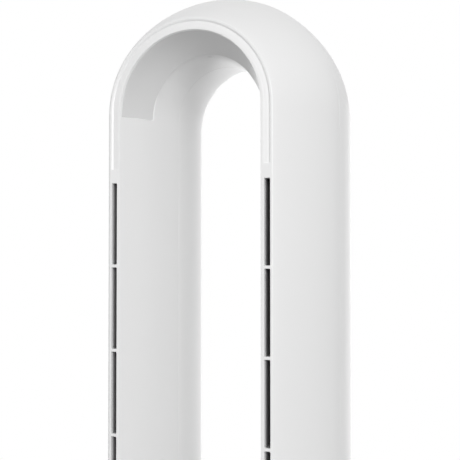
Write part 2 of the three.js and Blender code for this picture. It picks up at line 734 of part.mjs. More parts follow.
// ---------------------------------------------------------------- cradle and body shells
// Saddle that the loop's lower arch rests in, with the air passage and its flange below.
function cradle() {
  const reach = FIT_RADIUS - BODY_EDGE_ROUND + BODY_WALL;
  const inside = rod(reach, CRADLE_FLANGE_Z, BODY_TOP - BODY_WALL - FIT_GAP, 0, 0, FINE);
  const skin = lens(FIT_GAP + CRADLE_WALL).intersect(inside);
  const tube = rod(PORT_RADIUS + PORT_WALL, CRADLE_FLANGE_Z, LOW_Z - THROAT_RADIUS, 0, 0, MEDIUM);
  const flangeTop = CRADLE_FLANGE_Z + CRADLE_FLANGE_THICKNESS;
  const reachOut = PORT_RADIUS + PORT_WALL + CRADLE_FLANGE_WIDTH;
  const flange = rod(reachOut, CRADLE_FLANGE_Z, flangeTop, 0, 0, MEDIUM);
  const passage = rod(PORT_RADIUS, CRADLE_FLANGE_Z - CUT_OVER, LOW_Z, 0, 0, MEDIUM);
  return cut(join([skin, tube, flange]), [lens(FIT_GAP), passage]);
}

function bodyShell() {
  const low = GRILLE_TOP + FIT_GAP;
  const edge = new THREE.EllipseCurve(
    BODY_RADIUS - BODY_EDGE_ROUND, BODY_TOP - BODY_EDGE_ROUND,
    BODY_EDGE_ROUND, BODY_EDGE_ROUND, 0, Math.PI / 2,
  );
  const profile = [
    [BODY_INNER_RADIUS, low],
    [BODY_RADIUS, low],
    ...pairs(edge.getPoints(3)),
    [PORT_RADIUS, BODY_TOP],
    [PORT_RADIUS, BODY_TOP - BODY_WALL],
    [BODY_INNER_RADIUS - BODY_EDGE_ROUND + BODY_WALL, BODY_TOP - BODY_WALL],
    [BODY_INNER_RADIUS, BODY_TOP - BODY_EDGE_ROUND],
  ];
  return cut(turned(profile, FINE), [
    lens(FIT_GAP),
    pin(WINDOW_RADIUS, -BODY_RADIUS - CUT_OVER, -BODY_RADIUS / 2, 0, WINDOW_Z, MEDIUM),
    pin(BUTTON_RADIUS, -BODY_RADIUS - CUT_OVER, -BODY_RADIUS / 2, 0, BUTTON_Z),
  ]);
}

// Upright slots, one in each facet of the shell, between two plain bands.
function grilleShell() {
  const shell = ring(BODY_INNER_RADIUS, BODY_RADIUS, TURRET_BOTTOM, GRILLE_TOP, FINE);
  const height = GRILLE_HEIGHT - 2 * GRILLE_BAND;
  const middle = (TURRET_BOTTOM + GRILLE_TOP) / 2;
  const slot = box(3 * BODY_WALL, GRILLE_SLOT_WIDTH, height, BODY_RADIUS - BODY_WALL / 2, 0, middle);
  return cut(shell, around(slot, GRILLE_COLUMNS, 180 / GRILLE_COLUMNS));
}

// ---------------------------------------------------------------- controls
// Inner face of the drum beside its front edge, at a distance x to the side.
const insideFront = (x) => -BODY_INNER_RADIUS + x * Math.tan(Math.PI / FINE);

function displayWindow() {
  const disc = pin(WINDOW_RADIUS - FIT_GAP, -BODY_RADIUS - CUT_OVER, -BODY_RADIUS / 2, 0, WINDOW_Z, MEDIUM);
  return ring(BODY_INNER_RADIUS, BODY_RADIUS, WINDOW_Z - BODY_RADIUS, WINDOW_Z + BODY_RADIUS, FINE)
    .intersect(disc);
}

// The cap follows the shell's curve; a flange behind the wall keeps it in, a stem meets the switch.
function powerButton() {
  const reach = -BODY_RADIUS - CUT_OVER;
  const inside = BODY_INNER_RADIUS - BUTTON_DEPTH;
  const cap = ring(inside, BODY_RADIUS, BUTTON_Z - BODY_RADIUS, BUTTON_Z + BODY_RADIUS, FINE)
    .intersect(pin(BUTTON_RADIUS - FIT_GAP, reach, -BODY_RADIUS / 2, 0, BUTTON_Z));
  const flangeRadius = BUTTON_RADIUS + BUTTON_FLANGE;
  const flangeFront = insideFront(flangeRadius) + FIT_GAP;
  const flange = pin(flangeRadius, flangeFront, flangeFront + BUTTON_FLANGE_THICKNESS, 0, BUTTON_Z);
  const stem = pin(BUTTON_STEM_RADIUS, flangeFront, SWITCH_FRONT - BUTTON_TRAVEL - FIT_GAP, 0, BUTTON_Z);
  return join([cap, flange, stem]);
}

function controlBoard() {
  const low = BUTTON_Z - CONTROL_BOARD_FOOT;
  const height = BOARD_TOP - low;
  const middle = CONTROL_BOARD_Y + BOARD_THICKNESS / 2;
  const board = box(CONTROL_BOARD_WIDTH, BOARD_THICKNESS, height, 0, middle, low + height / 2);
  const front = insideFront(DISPLAY_RADIUS) + FIT_GAP;
  const display = pin(DISPLAY_RADIUS, front, CONTROL_BOARD_Y + BOARD_SINK, 0, WINDOW_Z);
  const depth = SWITCH_HEIGHT + BOARD_SINK;
  const tact = box(SWITCH_WIDTH, depth, SWITCH_WIDTH, 0, SWITCH_FRONT + depth / 2, BUTTON_Z);
  return join([board, display, tact]);
}

// Upright board behind the duct, standing on the chassis deck, with its parts towards the back.
function powerBoard() {
  const low = DECK_TOP + FIT_GAP;
  const y = BODY_INNER_RADIUS - POWER_BOARD_INSET;
  const face = y + BOARD_THICKNESS / 2;
  const middle = low + POWER_BOARD_HEIGHT / 2;
  const board = box(POWER_BOARD_WIDTH, BOARD_THICKNESS, POWER_BOARD_HEIGHT, 0, y, middle);
  const blocks = POWER_BLOCKS.map((part) => {
    const depth = part.depth + BOARD_SINK;
    return box(part.width, depth, part.height, part.x, face - BOARD_SINK + depth / 2, low + part.z);
  });
  const cans = POWER_CANS.map((part) =>
    pin(part.radius, face - BOARD_SINK, face + part.length, part.x, low + part.z),
  );
  return join([board, ...blocks, ...cans]);
}

// ---------------------------------------------------------------- air mover
const shroudCurve = new THREE.CubicBezierCurve(
  point(INTAKE_RADIUS, IMPELLER_BOTTOM),
  point(INTAKE_RADIUS, IMPELLER_BOTTOM + SHROUD_INTAKE_SWELL),
  point(DUCT_RADIUS, IMPELLER_TOP - SHROUD_OUTLET_SWELL),
  point(DUCT_RADIUS, IMPELLER_TOP),
);
const hubCurve = new THREE.CubicBezierCurve(
  point(IMPELLER_NOSE_RADIUS, IMPELLER_BOTTOM + IMPELLER_RECESS),
  point(IMPELLER_NOSE_RADIUS, IMPELLER_BOTTOM + HUB_NOSE_SWELL),
  point(BUCKET_RADIUS - IMPELLER_RECESS - HUB_SKIRT_INSET, IMPELLER_TOP - HUB_SKIRT_SWELL),
  point(BUCKET_RADIUS - IMPELLER_RECESS, BLADE_TOP),
);
const pairs = (points) => points.map((p) => [p.x, p.y]);

function bellmouth() {
  const middle = INTAKE_RADIUS + BELL_LIP;
  const low = IMPELLER_BOTTOM - FIT_GAP;
  const quarter = (wall) =>
    new THREE.EllipseCurve(middle, low, BELL_LIP - wall, BELL_HEIGHT - wall, Math.PI, 1.5 * Math.PI);
  return turned([...pairs(quarter(0).getPoints(3)), ...pairs(quarter(DUCT_WALL).getPoints(2).reverse())]);
}

function duct() {
  const inner = pairs(shroudCurve.getPoints(6));
  const outer = pairs(beside(shroudCurve, 1, 0, 2, -DUCT_WALL));
  const neckLow = DUCT_TOP - DUCT_NECK_HEIGHT;
  const flangeTop = DUCT_FLANGE_Z + DUCT_FLANGE_THICKNESS;
  const flangeRadius = MOUNT_CIRCLE + DUCT_FLANGE_MARGIN;
  const outside = DUCT_RADIUS + DUCT_WALL;
  return turned([
    ...inner,
    [DUCT_RADIUS, neckLow],
    [PORT_RADIUS, DUCT_TOP - DUCT_LIP_HEIGHT],
    [PORT_RADIUS, DUCT_TOP],
    [PORT_RADIUS + GASKET_WIDTH, DUCT_TOP],
    [outside, neckLow + DUCT_WALL / 2],
    [outside, flangeTop],
    [flangeRadius, flangeTop],
    [flangeRadius, DUCT_FLANGE_Z],
    [outside, DUCT_FLANGE_Z],
    ...outer,
  ]);
}

function portGasket() {
  const low = DUCT_TOP + FIT_GAP;
  return ring(PORT_RADIUS, PORT_RADIUS + GASKET_WIDTH, low, low + GASKET_HEIGHT);
}

// A solid through sections that have the same number of corners, with a lid at each end.
function loft(sections) {
  const corners = [];
  const count = sections[0].length;
  for (let i = 0; i + 1 < sections.length; i += 1) {
    for (let k = 0; k < count; k += 1) {
      const next = (k + 1) % count;
      const [a, b] = [sections[i][k], sections[i][next]];
      const [c, d] = [sections[i + 1][next], sections[i + 1][k]];
      corners.push(a, b, c, a, c, d);
    }
  }
  for (let k = 1; k + 1 < count; k += 1) {
    corners.push(sections[0][0], sections[0][k + 1], sections[0][k]);
    corners.push(sections.at(-1)[0], sections.at(-1)[k], sections.at(-1)[k + 1]);
  }
  return solid(new THREE.BufferGeometry().setFromPoints(corners));
}

// A blade ruled between a root line and a tip line of the meridian while it turns about the shaft.
function ruledBlade(roots, tips, wrap, thickness) {
  const last = roots.length - 1;
  const turnAt = (t) => radians(wrap) * t * (EARLY_TURN + (1 - EARLY_TURN) * t);
  const place = (p, turn) => new THREE.Vector3(p.x * Math.cos(turn), p.x * Math.sin(turn), p.y);
  const rows = roots.map((root, i) => [place(root, turnAt(i / last)), place(tips[i], turnAt(i / last))]);
  const middles = rows.map(([root, tip]) => root.clone().add(tip));
  return loft(rows.map(([root, tip], i) => {
    const along = middles[Math.min(last, i + 1)].clone().sub(middles[Math.max(0, i - 1)]);
    const side = along.cross(tip.clone().sub(root)).setLength(thickness / 2);
    const [low, high] = [root.clone().sub(side), tip.clone().sub(side)];
    return [low, high, high.clone().addScaledVector(side, 2), low.clone().addScaledVector(side, 2)];
  }));
}

// Mixed-flow impeller: a hollow cone with blades that wrap round it and end at the shroud.
function impeller() {
  const tipEnd = parameterAt(shroudCurve, BLADE_TOP);
  const roots = beside(hubCurve, 0, 1, BLADE_STEPS, HUB_OVERLAP);
  const tips = beside(shroudCurve, 0, tipEnd, BLADE_STEPS, TIP_GAP);
  const blade = ruledBlade(roots, tips, BLADE_WRAP, BLADE_THICKNESS);
  const bore = SHAFT_RADIUS + FIT_GAP;
  const hub = turned([
    ...pairs(hubCurve.getPoints(4)),
    [hubCurve.v3.x - HUB_WALL, BLADE_TOP],
    ...pairs(beside(hubCurve, 0.92, 0.4, 2, HUB_WALL)),
    [bore + HUB_BOSS_WALL, BLADE_TOP - HUB_WALL],
    [bore, BLADE_TOP - HUB_WALL],
    [bore, IMPELLER_BOTTOM + IMPELLER_RECESS],
  ], 2 * IMPELLER_BLADES);
  return join([hub, ...around(blade, IMPELLER_BLADES)]);
}

// Ring of still vanes that takes the swirl out of the air, with the bucket's wall inside it.
function diffuser() {
  const outerFace = DUCT_RADIUS - FIT_GAP;
  const innerRing = ring(BUCKET_RADIUS - BUCKET_WALL, BUCKET_RADIUS, VANE_BOTTOM, BUCKET_TOP);
  const outerRing = ring(outerFace - BUCKET_WALL, outerFace, VANE_BOTTOM, BUCKET_TOP);
  const upright = (radius) => beside(
    new THREE.LineCurve(
      point(radius, VANE_BOTTOM + VANE_THICKNESS), point(radius, BUCKET_TOP - VANE_THICKNESS),
    ), 0, 1, 3,
  );
  const roots = upright(BUCKET_RADIUS - VANE_SINK);
  const vane = ruledBlade(roots, upright(outerFace - VANE_SINK), -VANE_SWIRL, VANE_THICKNESS);
  return join([innerRing, outerRing, ...around(vane, VANE_COUNT)]);
}

// Cup inside the diffuser that holds the motor.
function motorBucket() {
  const outside = BUCKET_RADIUS - BUCKET_WALL - FIT_GAP;
  const inside = outside - BUCKET_WALL;
  const floor = VANE_BOTTOM + BUCKET_WALL;
  const rim = BUCKET_TOP - BUCKET_WALL;
  const seat = MOTOR_RADIUS + FIT_GAP;
  return turned([
    [BUCKET_OPENING, VANE_BOTTOM],
    [outside, VANE_BOTTOM],
    [outside, rim],
    [inside, rim],
    [inside, floor],
    [seat + BUCKET_WALL, floor],
    [seat + BUCKET_WALL, floor + SEAT_HEIGHT],
    [seat, floor + SEAT_HEIGHT],
    [seat, floor],
    [BUCKET_OPENING, floor],
  ]);
}

// Domed fairing over the bucket, seated on the diffuser's inner ring.
function bucketCap() {
  const base = BUCKET_TOP + FIT_GAP;
  const rise = DUCT_TOP - DUCT_LIP_HEIGHT - base;
  const quarter = (wall) =>
    new THREE.EllipseCurve(0, base, BUCKET_RADIUS - wall, rise - wall, 0, Math.PI / 2);
  const outer = pairs(quarter(0).getPoints(4)).slice(0, -1);
  const inner = pairs(quarter(BUCKET_WALL).getPoints(3)).reverse().slice(1);
  return turned([...outer, [0, base + rise], [0, base + rise - BUCKET_WALL], ...inner]);
}

function motorCan() {
  const low = VANE_BOTTOM + BUCKET_WALL + FIT_GAP;
  const high = low + MOTOR_HEIGHT;
  const bore = SHAFT_RADIUS + FIT_GAP;
  return turned([
    [bore, low],
    [MOTOR_RADIUS - MOTOR_EDGE, low],
    [MOTOR_RADIUS, low + MOTOR_EDGE],
    [MOTOR_RADIUS, high - MOTOR_EDGE],
    [MOTOR_RADIUS - MOTOR_EDGE, high],
    [bore + MOTOR_BOSS_WALL, high],
    [bore + MOTOR_BOSS_WALL, high + MOTOR_BOSS_HEIGHT],
    [bore, high + MOTOR_BOSS_HEIGHT],
  ]);
}

function motorShaft() {
  return rod(SHAFT_RADIUS, IMPELLER_BOTTOM, VANE_BOTTOM + MOTOR_HEIGHT, 0, 0);
}

function foamRing() {
  const inner = DUCT_RADIUS + DUCT_WALL + FIT_GAP;
  return ring(inner, inner + FOAM_THICKNESS, IMPELLER_TOP + FOAM_LIFT, CHASSIS_DECK - FIT_GAP);
}

// ---------------------------------------------------------------- turning frame
// Deck on columns that carries the duct on its rubber mounts.
function chassis() {
  const low = TURNTABLE_TOP + FIT_GAP;
  const inner = DUCT_RADIUS + DUCT_WALL + DECK_CLEARANCE;
  const deck = ring(inner, FIT_RADIUS, CHASSIS_DECK, DECK_TOP, HALF_FINE);
  const reach = FIT_RADIUS - COLUMN_INSET - COLUMN_DEPTH / 2;
  const height = CHASSIS_DECK + CUT_OVER - low;
  const column = box(COLUMN_DEPTH, COLUMN_WIDTH, height, reach, 0, low + height / 2);
  const shoe = box(
    COLUMN_DEPTH + 2 * SHOE_OFFSET, COLUMN_WIDTH + 2 * SHOE_MARGIN, SHOE_THICKNESS,
    reach - SHOE_OFFSET, 0, low + SHOE_THICKNESS / 2,
  );
  return join([deck, ...around(column.add(shoe), COLUMN_COUNT, 180 / COLUMN_COUNT)]);
}

function isolator(index) {
  const low = DECK_TOP + FIT_GAP;
  const angle = radians(90 + (360 * index) / MOUNT_COUNT);
  const [x, y] = [MOUNT_CIRCLE * Math.cos(angle), MOUNT_CIRCLE * Math.sin(angle)];
  return rod(MOUNT_RADIUS, low, low + ISOLATOR_HEIGHT, x, y);
}

function turntable() {
  const plate = rod(FIT_RADIUS, TURRET_BOTTOM, TURNTABLE_TOP, 0, 0, HALF_FINE);
  const spindle = rod(SPINDLE_RADIUS, WASHER_TOP + FIT_GAP, TURRET_BOTTOM + CUT_OVER, 0, 0, MEDIUM);
  const shaftHole = SWING_SHAFT_RADIUS + SWING_SHAFT_CLEARANCE;
  const screwTop = WASHER_BOTTOM + SCREW_LENGTH + SCREW_RADIUS;
  const holes = [
    rod(shaftHole, TURRET_BOTTOM - CUT_OVER, TURNTABLE_TOP + CUT_OVER, PINION_OFFSET, 0),
    rod(SCREW_RADIUS + FIT_GAP, 0, screwTop, 0, 0),
  ];
  return cut(plate.add(spindle), holes);
}

function pivotWasher() {
  return ring(SCREW_RADIUS + FIT_GAP, SPINDLE_RADIUS + BUSH_WALL, WASHER_BOTTOM, WASHER_TOP, COARSE);
}

function pivotScrew() {
  const headTop = WASHER_BOTTOM - FIT_GAP;
  const head = rod(SCREW_HEAD_RADIUS, headTop - SCREW_HEAD_HEIGHT, headTop);
  return head.add(rod(SCREW_RADIUS, headTop - SCREW_HEAD_HEIGHT / 2, WASHER_BOTTOM + SCREW_LENGTH));
}

// ---------------------------------------------------------------- swing drive
const involute = (angle) => Math.tan(angle) - angle;

// Half the angle that a tooth takes up at a radius.
function toothHalfAngle(teeth, radius, thinning) {
  const pitch = (GEAR_MODULE * teeth) / 2;
  const base = pitch * Math.cos(radians(PRESSURE_ANGLE));
  const pressure = Math.acos(Math.min(1, base / radius));
  const atPitch = Math.PI / (2 * teeth) - thinning / (2 * pitch);
  return atPitch + involute(radians(PRESSURE_ANGLE)) - involute(pressure);
}

// One involute tooth centred on `angle`, from root to root.
function toothPoints(teeth, angle, low, high, thinning) {
  const flank = [low, (low + high) / 2, high];
  const side = (sign) => flank.map((radius) => {
    const turn = angle + sign * toothHalfAngle(teeth, radius, thinning);
    return point(radius * Math.cos(turn), radius * Math.sin(turn));
  });
  return [...side(-1), ...side(1).reverse()];
}

function pinion() {
  const outline = [];
  const low = PITCH_RADIUS_PINION - 1.25 * GEAR_MODULE;
  const high = PITCH_RADIUS_PINION + GEAR_MODULE;
  for (let i = 0; i < PINION_TEETH; i += 1) {
    const angle = (2 * Math.PI * i) / PINION_TEETH;
    outline.push(...toothPoints(PINION_TEETH, angle, low, high, GEAR_BACKLASH));
  }
  const geometry = new THREE.ExtrudeGeometry(new THREE.Shape(outline), {
    depth: GEAR_HEIGHT,
    bevelEnabled: false,
  });
  const wheel = solid(geometry.translate(PINION_OFFSET, 0, GEAR_BOTTOM));
  const shaftTop = TURNTABLE_TOP + SWING_MOTOR_HEIGHT / 2;
  return wheel.add(rod(SWING_SHAFT_RADIUS, GEAR_BOTTOM + 1, shaftTop, PINION_OFFSET, 0));
}

// Inward teeth on part of the circle; the rest of the rim is plain.
function gearSector() {
  const hole = [];
  const low = PITCH_RADIUS_SECTOR - GEAR_MODULE;
  const high = PITCH_RADIUS_SECTOR + 1.25 * GEAR_MODULE;
  const reach = Math.floor((SECTOR_ANGLE * SECTOR_TEETH) / 360);
  for (let i = -reach; i <= reach; i += 1) {
    const angle = (2 * Math.PI * i) / SECTOR_TEETH;
    hole.push(...toothPoints(SECTOR_TEETH, angle, low, high, -GEAR_BACKLASH));
  }
  const first = ((reach + 1) * 2 * Math.PI) / SECTOR_TEETH;
  const plain = new THREE.EllipseCurve(0, 0, high, high, first, 2 * Math.PI - first);
  hole.push(...plain.getPoints(MEDIUM));
  const shape = new THREE.Shape(pairsOfCircle(high + GEAR_RIM, MEDIUM));
  shape.holes.push(new THREE.Path(hole));
  const geometry = new THREE.ExtrudeGeometry(shape, { depth: GEAR_HEIGHT, bevelEnabled: false });
  return solid(geometry.translate(0, 0, GEAR_BOTTOM));
}

function pairsOfCircle(radius, sides) {
  return new THREE.EllipseCurve(0, 0, radius, radius, 0, 2 * Math.PI).getPoints(sides).slice(1);
}

// Geared motor that stands on the turntable and drives the pinion.
function swingMotor() {
  const low = TURNTABLE_TOP + FIT_GAP;
  const can = rod(SWING_MOTOR_RADIUS, low, low + SWING_MOTOR_HEIGHT, PINION_OFFSET, 0, MEDIUM);
  const across = 2 * (SWING_MOTOR_RADIUS + SWING_MOTOR_EAR);
  const thickness = SWING_MOTOR_EAR_THICKNESS;
  const ears = box(COLUMN_WIDTH, across, thickness, PINION_OFFSET, 0, low + thickness / 2);
  const boreTop = low + SWING_MOTOR_HEIGHT - SWING_MOTOR_CAP;
  const bore = rod(SWING_SHAFT_RADIUS + FIT_GAP, low - CUT_OVER, boreTop, PINION_OFFSET, 0);
  return can.add(ears).subtract(bore);
}

// ---------------------------------------------------------------- base
function basePan() {
  const bossOuter = BOSS_INNER_RADIUS + BOSS_WALL;
  const edge = new THREE.EllipseCurve(
    BASE_RADIUS - PAN_ROUND, FOOT_HEIGHT + PAN_ROUND, PAN_ROUND, PAN_ROUND, -Math.PI / 2, 0,
  );
  const pan = turned([
    [BOSS_INNER_RADIUS, FOOT_HEIGHT],
    ...pairs(edge.getPoints(2)),
    [BASE_RADIUS, PAN_TOP],
    [BASE_RADIUS - BASE_WALL, PAN_TOP],
    [BASE_RADIUS - BASE_WALL, PAN_FLOOR],
    [bossOuter, PAN_FLOOR],
    [bossOuter, BOSS_TOP],
    [BOSS_INNER_RADIUS, BOSS_TOP],
  ], FINE);
  const seat = rod(FOOT_RADIUS + FIT_GAP, 0, FOOT_HEIGHT + FOOT_SEAT + FIT_GAP, FOOT_CIRCLE, 0);
  const socket = box(
    INLET_WIDTH + 2 * FIT_GAP, 4 * BASE_WALL, INLET_HEIGHT + 2 * FIT_GAP,
    0, BASE_RADIUS, INLET_Z,
  );
  return cut(pan, [...around(seat, FOOT_COUNT, 180 / FOOT_COUNT), socket]);
}

function foot(index) {
  const first = rod(FOOT_RADIUS, 0, FOOT_HEIGHT + FOOT_SEAT, FOOT_CIRCLE, 0);
  return first.rotate([0, 0, (180 + 360 * index) / FOOT_COUNT]);
}

function baseCover() {
  const low = PAN_TOP + FIT_GAP;
  const edge = new THREE.EllipseCurve(
    BASE_RADIUS - COVER_ROUND, BASE_TOP - COVER_ROUND, COVER_ROUND, COVER_ROUND, 0, Math.PI / 2,
  );
  return turned([
    [BASE_RADIUS - BASE_WALL, low],
    [BASE_RADIUS, low],
    ...pairs(edge.getPoints(2)),
    [BALLAST_INNER_RADIUS, BASE_TOP],
    [BALLAST_INNER_RADIUS, BASE_TOP - BASE_WALL],
    [BASE_RADIUS - 2 * BASE_WALL, BASE_TOP - BASE_WALL],
    [BASE_RADIUS - BASE_WALL, BASE_TOP - 2 * BASE_WALL],
  ], FINE);
}

function thrustRing() {
  const low = BASE_TOP + FIT_GAP;
  const outer = FIT_RADIUS - THRUST_INSET;
  return ring(outer - THRUST_WIDTH, outer, low, TURRET_BOTTOM - FIT_GAP);
}

function pivotBush() {
  const inner = SPINDLE_RADIUS + FIT_GAP;
  const outer = BOSS_INNER_RADIUS - FIT_GAP;
  const low = WASHER_TOP + FIT_GAP;
  const shoulder = BOSS_TOP + FIT_GAP;
  return turned([
    [inner, low],
    [outer, low],
    [outer, shoulder],
    [outer + BUSH_SHOULDER, shoulder],
    [outer + BUSH_SHOULDER, shoulder + BUSH_SHOULDER_HEIGHT],
    [inner, shoulder + BUSH_SHOULDER_HEIGHT],
  ]);
}

function ballastPlate() {
  const low = PAN_FLOOR + FIT_GAP;
  const plate = ring(
    BALLAST_INNER_RADIUS, BASE_RADIUS - BASE_WALL - FIT_GAP, low, low + BALLAST_THICKNESS,
    HALF_FINE,
  );
  const reach = INLET_INSET + INLET_LENGTH + BALLAST_NOTCH;
  const width = INLET_WIDTH + 2 * BALLAST_NOTCH;
  const notch = box(width, 2 * reach, 3 * BALLAST_THICKNESS, 0, BASE_RADIUS, low);
  return plate.subtract(notch);
}

// Mains inlet: a deep socket with two pins, flush with the back of the pan.
function powerInlet() {
  const back = BASE_RADIUS - INLET_INSET;
  const body = box(INLET_WIDTH, INLET_LENGTH, INLET_HEIGHT, 0, back - INLET_LENGTH / 2, INLET_Z);
  const socketDepth = SOCKET_DEPTH + CUT_OVER;
  const socket = box(
    SOCKET_WIDTH, socketDepth, SOCKET_HEIGHT, 0, back + CUT_OVER - socketDepth / 2, INLET_Z,
  );
  const prongs = [-PRONG_SPACING / 2, PRONG_SPACING / 2].map((x) =>
    pin(PRONG_RADIUS, back - SOCKET_DEPTH - CUT_OVER, back - PRONG_INSET - CUT_OVER, x, INLET_Z),
  );
  return join([body.subtract(socket), ...prongs]);
}

// ---------------------------------------------------------------- assembly
const fan = new THREE.Group();
fan.name = "bladeless_fan";
const base = new THREE.Group();
const turret = new THREE.Group();
const loop = new THREE.Group();
turret.add(loop);
fan.add(base, turret);

function place(group, name, shape, material) {
  const mesh = new THREE.Mesh(geometryOf(shape), material.clone());
  mesh.name = name;
  group.add(mesh);
}

place(base, "base_pan", basePan(), WHITE);
place(base, "base_cover", baseCover(), WHITE);
for (let i = 0; i < FOOT_COUNT; i += 1) place(base, `foot_${i + 1}`, foot(i), RUBBER);
place(base, "ballast_plate", ballastPlate(), STEEL);
place(base, "gear_sector", gearSector(), ACETAL);
place(base, "pivot_bush", pivotBush(), ACETAL);
place(base, "thrust_ring", thrustRing(), ACETAL);
place(base, "power_inlet", powerInlet(), DARK);

place(turret, "turntable", turntable(), INNER_GREY);
place(turret, "pivot_washer", pivotWasher(), STEEL);
place(turret, "pivot_screw", pivotScrew(), STEEL);
place(turret, "swing_motor", swingMotor(), STEEL);
place(turret, "swing_pinion", pinion(), ACETAL);
place(turret, "chassis", chassis(), INNER_GREY);
place(turret, "inlet_grille", grilleShell(), WHITE);
place(turret, "body_shell", bodyShell(), WHITE);
place(turret, "display_window", displayWindow(), GLOSS_BLACK);
place(turret, "power_button", powerButton(), WHITE);
place(turret, "control_board", controlBoard(), BOARD);
place(turret, "power_board", powerBoard(), BOARD);
place(turret, "bellmouth", bellmouth(), DARK);
place(turret, "impeller_duct", duct(), INNER_GREY);
place(turret, "duct_foam", foamRing(), FOAM);
for (let i = 0; i < MOUNT_COUNT; i += 1) place(turret, `duct_mount_${i + 1}`, isolator(i), RUBBER);
place(turret, "impeller", impeller(), INNER_GREY);
place(turret, "motor_shaft", motorShaft(), STEEL);
place(turret, "motor_can", motorCan(), COPPER);
place(turret, "motor_bucket", motorBucket(), DARK);
place(turret, "bucket_cap", bucketCap(), DARK);
place(turret, "diffuser", diffuser(), INNER_GREY);
place(turret, "port_gasket", portGasket(), RUBBER);
place(turret, "loop_cradle", cradle(), INNER_GREY);

place(loop, "loop_front_shell", loopFrontShell(), WHITE);
place(loop, "loop_back_shell", loopBackShell(), WHITE);
place(loop, "arch_liner", archLiner(), LINER_WHITE);
place(loop, "liner_clip", linerClip(), LINER_WHITE);
place(loop, "nozzle_right", nozzle(1), NOZZLE_GREY);
place(loop, "nozzle_left", nozzle(-1), NOZZLE_GREY);

export default fan;
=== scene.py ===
# %% [markdown]
# # A bladeless tower fan
# The fan is an upright hollow loop of white plastic on a round body that turns on a flat base.
# Air leaves through narrow slots in the loop's front rim.
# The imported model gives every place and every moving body.
# This lesson builds the fine surfaces round it, their finishes, the light and the camera.
# Lengths below are in millimetres and are turned into metres where a mesh is made.

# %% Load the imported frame
import json
import math

import bpy
import numpy as np
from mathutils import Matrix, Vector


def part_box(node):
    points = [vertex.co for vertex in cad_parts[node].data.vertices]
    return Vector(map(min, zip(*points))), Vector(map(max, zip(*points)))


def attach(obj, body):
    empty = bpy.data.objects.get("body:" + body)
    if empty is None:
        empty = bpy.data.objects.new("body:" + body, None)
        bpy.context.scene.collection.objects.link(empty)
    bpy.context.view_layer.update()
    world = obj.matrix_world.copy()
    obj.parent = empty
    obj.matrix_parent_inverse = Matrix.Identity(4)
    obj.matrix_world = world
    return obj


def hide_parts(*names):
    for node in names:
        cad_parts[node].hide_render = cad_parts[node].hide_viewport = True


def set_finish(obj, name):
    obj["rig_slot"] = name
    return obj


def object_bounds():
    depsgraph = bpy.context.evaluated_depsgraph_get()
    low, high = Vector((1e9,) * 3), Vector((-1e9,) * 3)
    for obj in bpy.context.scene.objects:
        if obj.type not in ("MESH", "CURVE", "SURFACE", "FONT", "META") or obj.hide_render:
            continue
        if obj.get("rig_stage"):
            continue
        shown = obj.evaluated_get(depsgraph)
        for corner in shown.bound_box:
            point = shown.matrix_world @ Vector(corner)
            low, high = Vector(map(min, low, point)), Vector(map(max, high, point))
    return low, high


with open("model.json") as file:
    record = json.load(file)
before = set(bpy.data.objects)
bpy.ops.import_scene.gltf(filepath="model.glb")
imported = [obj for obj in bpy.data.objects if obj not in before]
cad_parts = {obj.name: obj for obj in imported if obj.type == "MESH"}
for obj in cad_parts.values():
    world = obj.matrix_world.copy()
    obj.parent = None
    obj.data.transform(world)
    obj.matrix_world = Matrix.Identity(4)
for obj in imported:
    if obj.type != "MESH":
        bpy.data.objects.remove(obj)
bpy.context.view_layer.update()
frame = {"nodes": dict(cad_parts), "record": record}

MM = 0.001

# %% [markdown]
# ## Sizes
# The loop is one section carried round a racetrack: two straight legs and two half circles.
# A section point is a radius from the racetrack's centre line and a depth behind the front rim.
# The sizes repeat the ones of the model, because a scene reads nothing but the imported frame.

# %% Sizes of the loop
FRONT_Y = -87.0
LOOP_RADIUS = 115.0
LOOP_DEPTH = 174.0
HIGH_Z = 935.0  # centre of the top arch
LOW_Z = 344.7  # centre of the lower arch
PART_DEPTH = 80.0  # joint of the two shells
WALL = 2.5
GAP = 0.3
EASE = 0.35  # how far a moulded edge is rounded
SEAM_EASE = 0.12  # the same at the joint of the two shells

LIP_RADIUS = 80.5
RIM_INNER = 70.2
RIM_BACK = 3.2
SLOT_OUTER = 78.7
SLOT_INNER = 73.2
SLOT_TOP = HIGH_Z - 64.6
SLOT_PITCH = 77.3
SLOT_BRIDGE = 2.7
SLOT_COUNT = 6
SLOT_CORNER = 0.9
GROOVE_RUN = 52.0  # how far the closed groove runs down each leg

LINING_FRONT = 2.4
LINING_BACK = 38.6
LINING_BACK_RADIUS = 57.0
LINING_THICKNESS = 1.6
LINING_DROP = 3.6
LINING_CORNER = 2.6

OUTER_FRONT = [(LIP_RADIUS, 0), (84.6, 1.8), (LOOP_RADIUS, 53), (LOOP_RADIUS, PART_DEPTH)]
OUTER_BACK = [(LOOP_RADIUS, PART_DEPTH), (LOOP_RADIUS, 149.6), (87.7, LOOP_DEPTH), (83, LOOP_DEPTH)]
INNER_FRONT = [(RIM_INNER, 0), (63.2, 17), (51, 43), (51, PART_DEPTH)]
INNER_BACK = [(51, PART_DEPTH), (51, 101), (57.2, LOOP_DEPTH), (83, LOOP_DEPTH)]
print("slots run from", SLOT_TOP, "down to", SLOT_TOP - SLOT_COUNT * SLOT_PITCH + SLOT_BRIDGE)

# %% [markdown]
# ## Tools for surfaces
# Every new piece is a grid of points, worked out as whole arrays.
# A thin moulding is a pair of grids, one for its outer skin and one for its inner skin.
# A Solidify modifier could thicken a single skin, but a rim often has another thickness than a
# side. With two grids each wall is as thick as it should be.
# `walled` joins them wherever the skin stops, so a slot is only a patch of faces left out.


